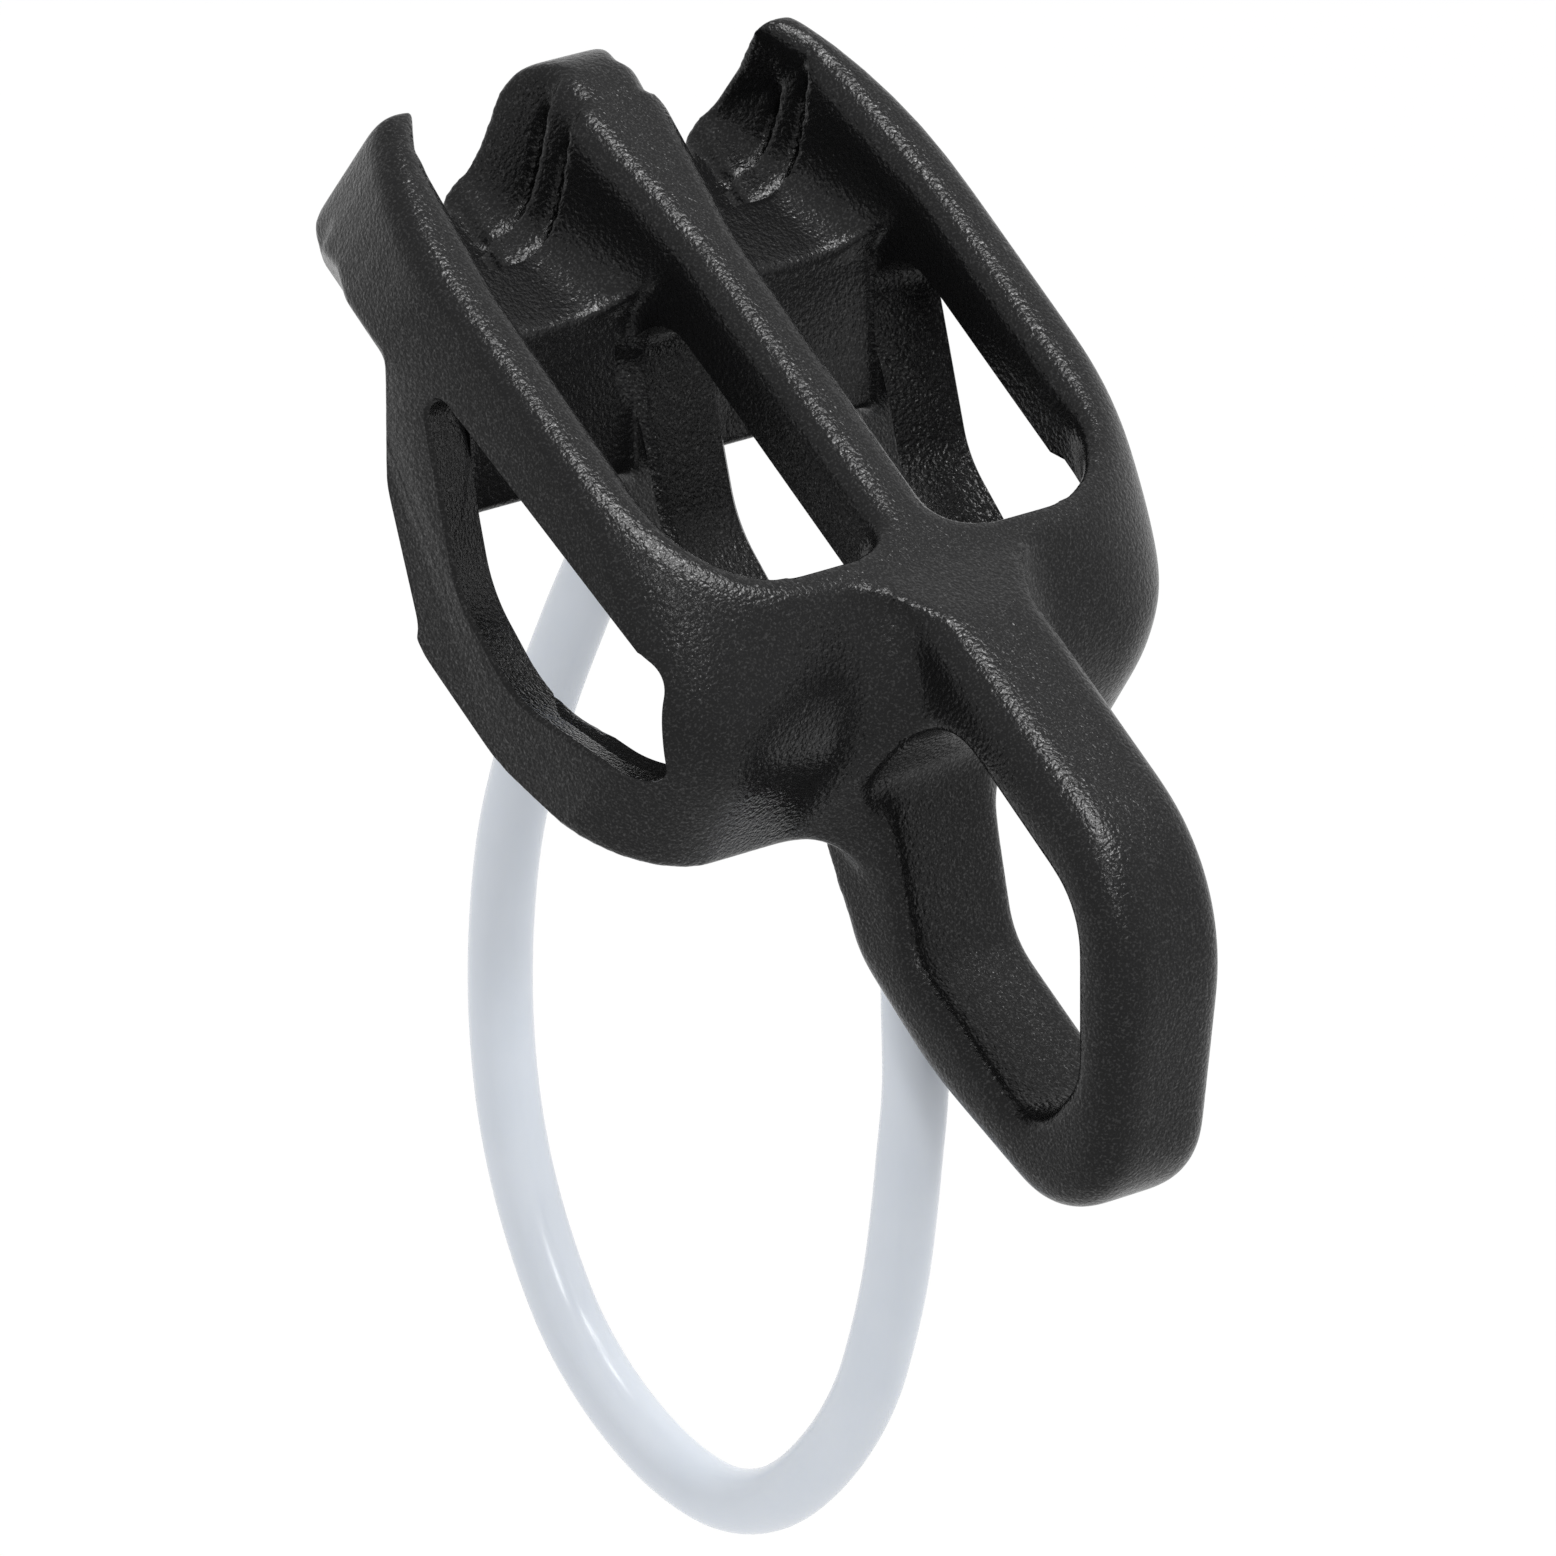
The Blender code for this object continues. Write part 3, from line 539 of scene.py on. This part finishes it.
def widest(along, down):
    """Half the width that leaves a channel's outer wall thick enough where the tail draws in."""
    tail_across, tail_along = TAIL_CORNER
    share = min(max((along - REAR_END + tail_along) / tail_along, 0), 1)
    outer = HALF_WIDTH - tail_across + tail_across * math.sqrt(1 - share**2)
    (wall,) = corner_at((TAIL_WALL,), (TAIL_WALL_LOW,), height(down))
    return max(outer - wall - SLOT_MIDDLE, CHANNEL_FLOOR) + drawn_in(CREST_RADIUS, down)


def channel_ring(side, step, front, lean, groove=0):
    """A ring of a channel's cutter, whose points move along by the lean as they go down."""
    downs = [-BEYOND, *(share * CREST_RADIUS for share in CREST_SHARES)]
    downs += [level * channel_depth(front, step)[1] for level in TROUGH_LEVELS]
    half = []
    for down in downs:
        along = front + lean * down
        fades_in = min(max(down / CREST_RADIUS - 1, 0), 1)
        half.append((channel_wall(along, step, down) + groove * fades_in, along, down))
    half.append((0, half[-1][1], half[-1][2]))
    ring = []
    for x, along, down in half + [(-x, along, down) for x, along, down in reversed(half[:-1])]:
        if side * x < 0:
            before = 1 - channel_depth(along, step)[0]
            above = 1 - min(max(down, 0) / BROW_DEPTH, 1)
            x -= side * before * above * (WEB - WEB_CROWN) / 2
        else:
            x = side * min(abs(x), widest(along, down))
        ring.append(Vector((side * SLOT_MIDDLE + x, along, height(down))))
    return ring


def friction_channel(side, step):
    """The cutter for one step of a friction channel, whose grooved front end leans down and forward."""
    if step == 0:
        top, lean = RAMP_TOP, 0
        rings = [channel_ring(side, step, RAMP_TOP - BEYOND / 2, lean)]
    else:
        top = STEP_TOPS[step - 1]
        lean = (STEP_FLOORS[step - 1] - top) / (SADDLE_DEPTH + SADDLE_FALL / 2 + step * STEP_DEPTH)
        rings = [channel_ring(side, step, top - place, lean, STEP_GROOVE) for place in (STEP_GROOVE, 0)]
        top += STEP_GROOVE
    for span in range(CHANNEL_SPANS + 1):
        share = span / CHANNEL_SPANS
        front = top + share * (REAR_END + BEYOND - top)
        rings.append(channel_ring(side, step, front, lean * (1 - share)))
    return loft(f"channel_{'left' if side < 0 else 'right'}_{step}", rings)


def tail_notch(side):
    """The cutter that draws in the floor of a friction channel and blunts the tip of its outer wall."""
    wide = CHANNEL_MOUTH + STEP_WIDEN
    share = (TAIL_TIPS - TAIL_NOTCH) / (REAR_END - TAIL_NOTCH)
    outline = [
        (SLOT_MIDDLE - CHANNEL_FLOOR, TAIL_NOTCH),
        (SLOT_MIDDLE + CHANNEL_FLOOR, TAIL_NOTCH),
        (SLOT_MIDDLE + CHANNEL_FLOOR + share * (wide - CHANNEL_FLOOR), TAIL_TIPS),
        (HALF_WIDTH + BEYOND, TAIL_TIPS),
        (HALF_WIDTH + BEYOND, REAR_END + BEYOND),
        (SLOT_MIDDLE - wide, REAR_END + BEYOND),
        (SLOT_MIDDLE - wide, REAR_END + 2 * TRIM),
    ]
    levels = (ROPE_FACE + BEYOND, height(HEEL_DEPTH) - BEYOND)
    rings = [[Vector((side * x, along, up)) for x, along in outline] for up in levels]
    return loft(f"tail_notch_{'left' if side < 0 else 'right'}", rings)


def window_outline(flare, front_flare=0):
    """The outline of a side window, grown by the flare, but at its front only by a flare of its own."""
    stations = (WINDOW_TAIL, WINDOW_BROW, WINDOW_FRONT, WINDOW_SILL_FRONT, WINDOW_SILL_REAR)
    corners = [(along, height(depth), radius) for along, depth, radius in stations]
    behind, before = grown(corners, flare), grown(corners, front_flare)
    return rounded([
        rear if corner[0] > KEEL_FRONT else front for corner, rear, front in zip(corners, behind, before)
    ])


def window_outer(side):
    """The cutter for an outer wall's window, which widens towards the rope."""
    rings = [
        across(window_outline(2 * CUT_CHAMFER, 2 * CUT_CHAMFER), side * (HALF_WIDTH + CUT_CHAMFER)),
        across(window_outline(0), side * (HALF_WIDTH - CUT_CHAMFER)),
        across(window_outline(WINDOW_FLARE), side * (HALF_WIDTH - WALL - TRIM)),
    ]
    return loft(f"window_{'left' if side < 0 else 'right'}", rings)


def window_corner(side):
    """The cutter that opens the front end of an outer window into the rounded corner of the rope slot."""
    brow_along, brow_depth, brow_radius = WINDOW_BROW
    front_along, front_depth, front_radius = WINDOW_FRONT
    in_wall, far_in = HALF_WIDTH - WALL / 2, HALF_WIDTH - WALL - CORNER_REACH
    rings = []
    for x, draw in ((in_wall, CORNER_DRAW), (far_in, CORNER_DRAW_FAR)):
        corners = [
            (SLOT_FRONT_TOP + 4 * draw, height(brow_depth - draw / 2), 0),
            (brow_along + draw / 2, height(brow_depth - draw / 2), brow_radius),
            (front_along + draw, height(front_depth + CORNER_SINK_FRONT + draw / 2), front_radius),
            (SLOT_FRONT_TOP + 4 * draw, height(front_depth + CORNER_SINK_REAR + 2 * draw), 0),
        ]
        rings.append(across(rounded(corners), side * x))
    return loft(f"window_corner_{'left' if side < 0 else 'right'}", rings)


def window_web():
    """The cutter for the window through the web, with chamfered edges."""
    face = WEB / 2
    stations = ((face + BEYOND / 4, 2), (face, 1), (face - WEB_CHAMFER, 0))
    right = [(x, WEB_FLARE + share * WEB_CHAMFER) for x, share in stations]
    left = [(-x, flare) for x, flare in reversed(right)]
    return loft("window_web", [across(window_outline(flare), x) for x, flare in right + left])


def keeper_ends():
    """For each end of the loop: its name, the mouth of its bore and the way out of the bore."""
    route = [Vector((0, along, up)) for along, up in ROUTE]
    ends = []
    for place, pivot, ahead in (("rear", route[0], route[1]), ("front", route[-1], route[-2])):
        out = (ahead - pivot).normalized()
        ends.append((place, pivot - out * STAND_OFF, out))
    return ends


def rear_boss():
    """The round boss under the web that the rear end of the loop goes into."""
    place, mouth, out = keeper_ends()[0]
    inside = mouth - out * (BORE_DEPTH + BEYOND / 2)
    return rod(f"{place}_boss", BOSS_DIAMETER / 2, inside, mouth + out * 2 * TRIM)


def combine(piece, operation, *tools):
    """Add solids to a piece, cut them out of it or keep what they share, and clear the tools away."""
    for tool in tools:
        step = piece.modifiers.new(tool.name, "BOOLEAN")
        step.operation = operation
        step.object = tool
        step.solver = "MANIFOLD"
    freeze(piece)
    for tool in tools:
        bpy.data.objects.remove(tool)


def freeze(piece):
    """Turn a piece's modifiers into its own mesh."""
    bpy.context.view_layer.update()
    shape = piece.evaluated_get(bpy.context.evaluated_depsgraph_get())
    mesh = bpy.data.meshes.new_from_object(shape)
    piece.modifiers.clear()
    piece.data = mesh


def rounded_over(piece):
    """Round every edge of a piece: fully up to the saddles, less over the steps, more at the tail tips."""
    radii = piece.modifiers.new("radii", "REMESH")
    radii.mode = "VOXEL"
    radii.voxel_size = FORGE_GRAIN
    freeze(piece)
    softer = piece.vertex_groups.new(name="away_from_steps")
    for point in piece.data.vertices:
        share = (LESS_ROUNDED - point.co.y) / (LESS_ROUNDED - FULLY_ROUNDED)
        tip = (point.co.y - TAIL_NOTCH) / (TAIL_TIPS - TAIL_NOTCH)
        softer.add([point.index], min(max(share, TIP_ROUNDING * tip, 0), 1), "REPLACE")
    for group, passes in ((softer.name, FORGE_PASSES - STEP_PASSES), ("", STEP_PASSES)):
        blasted = piece.modifiers.new("blasted_edges", "SMOOTH")
        blasted.factor = 0.5
        blasted.iterations = passes
        blasted.vertex_group = group
    lighter = piece.modifiers.new("lighter", "DECIMATE")
    lighter.ratio = KEPT_FACES
    freeze(piece)
    piece.vertex_groups.clear()


def forged_blank():
    """The forging as it leaves the dies, with every edge rounded."""
    made = hull()
    combine(made, "UNION", ring_plate(), neck_flare(), rear_boss())
    for side in (-1, 1):
        combine(made, "DIFFERENCE", rope_slot(side), tail_notch(side))
        combine(made, "DIFFERENCE", *(friction_channel(side, step) for step in (0, 1, 2)))
    combine(made, "DIFFERENCE", eye_cutter())
    rounded_over(made)
    return made


def cheeks():
    """The slab that keeps the outer faces of the walls flat."""
    far = 4 * HALF_WIDTH
    slab = [(-far, -far), (-far, far), (far, far), (far, -far)]
    return side_prism("cheeks", slab, -HALF_WIDTH, HALF_WIDTH)


def keeper_bores():
    bores = []
    for place, mouth, out in keeper_ends():
        radius = LOOP_DIAMETER / 2 + CLEARANCE
        bores.append(rod(f"{place}_bore", radius, mouth - out * BORE_DEPTH, mouth + out * BEYOND))
    return bores


def new_finish(name):
    """An empty node material with its shader, and a function that adds a node to it."""
    finish = bpy.data.materials.new(name)
    finish.use_nodes = True
    tree = finish.node_tree
    shader = tree.nodes["Principled BSDF"]

    def add(kind, **values):
        node = tree.nodes.new("ShaderNode" + kind)
        for key, value in values.items():
            if key in node.inputs:
                node.inputs[key].default_value = value
            else:
                setattr(node, key, value)
        return node

    return finish, shader, add, tree.links.new


def black_anodised():
    """Dyed oxide on bead-blasted metal: near black, with fine pits that sparkle in the highlights."""
    finish, shader, add, link = new_finish("black_anodised")
    place = add("TexCoord")
    grains = add("TexNoise", Scale=6400, Detail=1)
    link(place.outputs["Object"], grains.inputs["Vector"])
    glints = add("MapRange")
    glints.inputs["From Min"].default_value = 0.52
    glints.inputs["From Max"].default_value = 0.74
    glints.inputs["To Min"].default_value = 0.16
    glints.inputs["To Max"].default_value = 0.5
    link(grains.outputs["Fac"], glints.inputs["Value"])
    link(glints.outputs["Result"], shader.inputs["Specular IOR Level"])
    cloud = add("TexNoise", Scale=160, Detail=3)
    link(place.outputs["Object"], cloud.inputs["Vector"])
    tint = add("ValToRGB")
    tint.color_ramp.elements[0].color = (0.0056, 0.0056, 0.0058, 1)
    tint.color_ramp.elements[1].color = (0.0084, 0.0084, 0.0087, 1)
    link(cloud.outputs["Fac"], tint.inputs["Fac"])
    link(tint.outputs["Color"], shader.inputs["Base Color"])
    beads = add("TexNoise", Scale=3600, Detail=1.5, Roughness=0.5)
    link(place.outputs["Object"], beads.inputs["Vector"])
    sheen = add("MapRange")
    sheen.inputs["From Min"].default_value = 0.3
    sheen.inputs["From Max"].default_value = 0.7
    sheen.inputs["To Min"].default_value = 0.19
    sheen.inputs["To Max"].default_value = 0.28
    link(beads.outputs["Fac"], sheen.inputs["Value"])
    link(sheen.outputs["Result"], shader.inputs["Roughness"])
    pits = add("Bump", Strength=0.9, Distance=0.00008)
    link(beads.outputs["Fac"], pits.inputs["Height"])
    link(pits.outputs["Normal"], shader.inputs["Normal"])
    return finish


body = forged_blank()
combine(body, "INTERSECT", cheeks())
windows = [window_outer(-1), window_corner(-1), window_outer(1), window_corner(1), window_web()]
combine(body, "DIFFERENCE", *windows, *keeper_bores())
body.data.shade_smooth()
body.data.set_sharp_from_angle(angle=CRISP_TURN)
body.data.materials.clear()
body.data.materials.append(black_anodised())
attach(body, "device")
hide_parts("body")


# Ferrules: short steel ends, swaged on the cable and held in two blind bores, one under the web and one
# under the neck. Only their faces show, deep in the bores.


def swaged_steel():
    """Pressed steel with fine scratches round it."""
    finish, shader, add, link = new_finish("swaged_steel")
    shader.inputs["Metallic"].default_value = 1.0
    shader.inputs["Base Color"].default_value = (0.5, 0.5, 0.52, 1)
    place = add("TexCoord")
    scratches = add("TexNoise", Scale=2200, Detail=2)
    link(place.outputs["Object"], scratches.inputs["Vector"])
    worn = add("MapRange")
    worn.inputs["To Min"].default_value = 0.25
    worn.inputs["To Max"].default_value = 0.5
    link(scratches.outputs["Fac"], worn.inputs["Value"])
    link(worn.outputs["Result"], shader.inputs["Roughness"])
    marks = add("Bump", Strength=0.2, Distance=0.00003)
    link(scratches.outputs["Fac"], marks.inputs["Height"])
    link(marks.outputs["Normal"], shader.inputs["Normal"])
    return finish


ferrule_steel = swaged_steel()
for place_name in ("rear_ferrule", "front_ferrule"):
    ferrule = frame["nodes"][place_name]
    ferrule.data.materials.clear()
    ferrule.data.materials.append(ferrule_steel)


# Keeper cable: a stranded steel wire that holds the loop's shape and springs back when it is pushed aside.
# Its strands twist round each other, and the sleeve hides them between the two bores.

TUCKED_IN = 0.0014
CURVE_STEPS = 6
CABLE_DIAMETER = 0.0024
STRANDS = 6
STRAND_RELIEF = 0.12
LAY_LENGTH = 0.016


def on_curve(a, b, c, d, share):
    """A point between b and c on the smooth curve through four points of the route."""
    slope = c - a
    bend = 2 * a - 5 * b + 4 * c - d
    twist = 3 * b - a - 3 * c + d
    return b + 0.5 * (slope * share + bend * share**2 + twist * share**3)


def loop_line():
    """Points down the middle of the loop, from inside its rear bore round to inside its front bore."""
    route = [Vector((0, along, up)) for along, up in ROUTE]
    rear = route[0] + (route[0] - route[1]).normalized() * TUCKED_IN
    front = route[-1] + (route[-1] - route[-2]).normalized() * TUCKED_IN
    padded = [rear, *route, front]
    line = [rear]
    for around in zip(padded, padded[1:], padded[2:], padded[3:]):
        line += [on_curve(*around, step / CURVE_STEPS) for step in range(CURVE_STEPS)]
    return line + [route[-1], front]


def tube_along(name, line, sides, radius_at):
    """A closed tube along a line in the middle plane, with its radius read at each point and angle."""
    made = bmesh.new()
    rings = []
    travelled = 0.0
    for index, point in enumerate(line):
        before = line[max(index - 1, 0)]
        after = line[min(index + 1, len(line) - 1)]
        if index:
            travelled += (point - before).length
        ahead = (after - before).normalized()
        side = Vector((1, 0, 0))
        up = ahead.cross(side)
        ring = []
        for corner in range(sides):
            angle = 2 * math.pi * corner / sides
            radius = radius_at(travelled, angle)
            ring.append(made.verts.new(point + radius * (math.cos(angle) * side + math.sin(angle) * up)))
        rings.append(ring)
    for low, high in zip(rings, rings[1:]):
        for corner in range(sides):
            other = (corner + 1) % sides
            made.faces.new((low[corner], low[other], high[other], high[corner]))
    made.faces.new(rings[0])
    made.faces.new(rings[-1])
    bmesh.ops.recalc_face_normals(made, faces=made.faces)
    mesh = bpy.data.meshes.new(name)
    made.to_mesh(mesh)
    made.free()
    mesh.shade_smooth()
    tube = bpy.data.objects.new(name, mesh)
    bpy.context.scene.collection.objects.link(tube)
    return tube


def strand_radius(travelled, angle):
    """The outside of a ring of strands that turns once in each lay length."""
    crest = abs(math.cos((angle - 2 * math.pi * travelled / LAY_LENGTH) * STRANDS / 2))
    return CABLE_DIAMETER / 2 * (1 - STRAND_RELIEF * (1 - crest))


line = loop_line()
cable = tube_along("loop_cable", line, 6 * STRANDS, strand_radius)
cable_steel = swaged_steel()
cable_steel.name = "cable_steel"
cable.data.materials.append(cable_steel)
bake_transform(cable)
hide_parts("keeper_wire")


# Keeper sleeve: a smooth pale plastic tube extruded over the cable, which keeps the steel off the ropes.
# Both its ends are pushed into the body's bores.

SLEEVE_SIDES = 32


def pale_plastic():
    """Glossy extruded plastic, a little cloudy, with faint lines along the draw."""
    finish, shader, add, link = new_finish("pale_plastic")
    shader.inputs["Specular IOR Level"].default_value = 0.5
    shader.inputs["Subsurface Weight"].default_value = 0.15
    shader.inputs["Subsurface Radius"].default_value = (0.001, 0.001, 0.0012)
    shader.inputs["Subsurface Scale"].default_value = 0.6
    place = add("TexCoord")
    cloud = add("TexNoise", Scale=220, Detail=2)
    link(place.outputs["Object"], cloud.inputs["Vector"])
    tint = add("ValToRGB")
    tint.color_ramp.elements[0].color = (0.66, 0.71, 0.78, 1)
    tint.color_ramp.elements[1].color = (0.74, 0.78, 0.84, 1)
    link(cloud.outputs["Fac"], tint.inputs["Fac"])
    link(tint.outputs["Color"], shader.inputs["Base Color"])
    sheen = add("MapRange")
    sheen.inputs["To Min"].default_value = 0.16
    sheen.inputs["To Max"].default_value = 0.27
    link(cloud.outputs["Fac"], sheen.inputs["Value"])
    link(sheen.outputs["Result"], shader.inputs["Roughness"])
    ripple = add("Bump", Strength=0.12, Distance=0.0001)
    link(cloud.outputs["Fac"], ripple.inputs["Height"])
    link(ripple.outputs["Normal"], shader.inputs["Normal"])
    return finish


def sleeve_radius(travelled, angle):
    return LOOP_DIAMETER / 2


sleeve = tube_along("loop_sleeve", line, SLEEVE_SIDES, sleeve_radius)
sleeve.data.materials.append(pale_plastic())
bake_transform(sleeve)
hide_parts("keeper_sleeve")


# Studio: a pale floor well below the hanging device, a long softbox overhead, a weaker one high on the left
# and an even white surround. The camera has a long lens and is rolled, as the device was for its picture.

FLOOR_DROP = 0.30
FLOOR_RADIUS = 4.0
SEEN_WHITE = 0.93
FILL_STRENGTH = 0.68
KEY_SOFTBOX = {"direction": (0.17, 0.14, 0.97), "distance": 0.9, "size": (0.34, 0.45), "power": 7.5}
LEFT_SOFTBOX = {"direction": (-0.40, -0.30, 0.87), "distance": 1.0, "size": (0.14, 0.14), "power": 1.2}
AIM = Vector((-0.00515, 0.0178, -0.0075))
CAMERA_AZIMUTH = math.radians(-61.4)
CAMERA_HEIGHT = math.radians(42.9)
CAMERA_ROLL = math.radians(35.0)
CAMERA_DISTANCE = 1.0
CAMERA_LENS = 380.7


def pale_floor():
    """A matt near-white floor, which the camera and reflections see nearer to white than it is lit."""
    finish, shader, add, link = new_finish("pale_floor")
    shader.inputs["Base Color"].default_value = (0.93, 0.93, 0.93, 1)
    shader.inputs["Roughness"].default_value = 0.9
    shader.inputs["Specular IOR Level"].default_value = 0.1
    white = add("Emission", Strength=1.0)
    ray = add("LightPath")
    seen = add("Math", operation="MAXIMUM")
    link(ray.outputs["Is Camera Ray"], seen.inputs[0])
    link(ray.outputs["Is Glossy Ray"], seen.inputs[1])
    part_white = add("Math", operation="MULTIPLY")
    part_white.inputs[1].default_value = SEEN_WHITE
    link(seen.outputs["Value"], part_white.inputs[0])
    either = add("MixShader")
    link(part_white.outputs["Value"], either.inputs["Fac"])
    link(shader.outputs["BSDF"], either.inputs[1])
    link(white.outputs["Emission"], either.inputs[2])
    link(either.outputs["Shader"], finish.node_tree.nodes["Material Output"].inputs["Surface"])
    return finish


def softbox(name, direction, distance, size, power):
    """A lamp, wide and long, that faces the device."""
    lamp = bpy.data.lights.new(name, "AREA")
    lamp.shape = "RECTANGLE"
    lamp.size, lamp.size_y = size
    lamp.energy = power
    stand = bpy.data.objects.new(name, lamp)
    towards = Vector(direction).normalized()
    stand.location = AIM + towards * distance
    stand.rotation_mode = "QUATERNION"
    stand.rotation_quaternion = towards.to_track_quat("Z", "Y")
    bpy.context.scene.collection.objects.link(stand)


floor_mesh = bmesh.new()
bmesh.ops.create_circle(floor_mesh, cap_ends=True, segments=96, radius=FLOOR_RADIUS)
floor_data = bpy.data.meshes.new("floor")
floor_mesh.to_mesh(floor_data)
floor_mesh.free()
floor = bpy.data.objects.new("floor", floor_data)
floor.location = (0, 0, cad_box[0].z - FLOOR_DROP)
floor.data.materials.append(pale_floor())
bpy.context.scene.collection.objects.link(floor)

softbox("key_softbox", **KEY_SOFTBOX)
softbox("left_softbox", **LEFT_SOFTBOX)

surround = bpy.data.worlds.new("surround")
surround.use_nodes = True
world_nodes = surround.node_tree.nodes
world_link = surround.node_tree.links.new
fill_light = world_nodes["Background"]
fill_light.inputs["Color"].default_value = (1, 1, 1, 1)
fill_light.inputs["Strength"].default_value = FILL_STRENGTH
seen_white = world_nodes.new("ShaderNodeBackground")
seen_white.inputs["Color"].default_value = (1, 1, 1, 1)
seen_white.inputs["Strength"].default_value = 1.0
ray = world_nodes.new("ShaderNodeLightPath")
seen = world_nodes.new("ShaderNodeMath")
seen.operation = "MAXIMUM"
world_link(ray.outputs["Is Camera Ray"], seen.inputs[0])
world_link(ray.outputs["Is Glossy Ray"], seen.inputs[1])
seen_through = world_nodes.new("ShaderNodeMath")
seen_through.operation = "MAXIMUM"
world_link(seen.outputs["Value"], seen_through.inputs[0])
world_link(ray.outputs["Is Transmission Ray"], seen_through.inputs[1])
either = world_nodes.new("ShaderNodeMixShader")
world_link(seen_through.outputs["Value"], either.inputs["Fac"])
world_link(fill_light.outputs["Background"], either.inputs[1])
world_link(seen_white.outputs["Background"], either.inputs[2])
world_link(either.outputs["Shader"], world_nodes["World Output"].inputs["Surface"])
bpy.context.scene.world = surround

camera_data = bpy.data.cameras.new("camera")
camera_data.lens = CAMERA_LENS
camera_data.sensor_width = 36
camera_data.clip_start = 0.01
camera_data.clip_end = 20
camera = bpy.data.objects.new("camera", camera_data)
towards_camera = Vector((
    math.sin(CAMERA_AZIMUTH) * math.cos(CAMERA_HEIGHT),
    -math.cos(CAMERA_AZIMUTH) * math.cos(CAMERA_HEIGHT),
    math.sin(CAMERA_HEIGHT),
))
camera.location = AIM + towards_camera * CAMERA_DISTANCE
camera.rotation_mode = "QUATERNION"
upright = (-towards_camera).to_track_quat("-Z", "Y")
camera.rotation_quaternion = upright @ Quaternion((0, 0, 1), CAMERA_ROLL)
bpy.context.scene.collection.objects.link(camera)
bpy.context.scene.camera = camera
bpy.context.scene.view_settings.view_transform = "Standard"
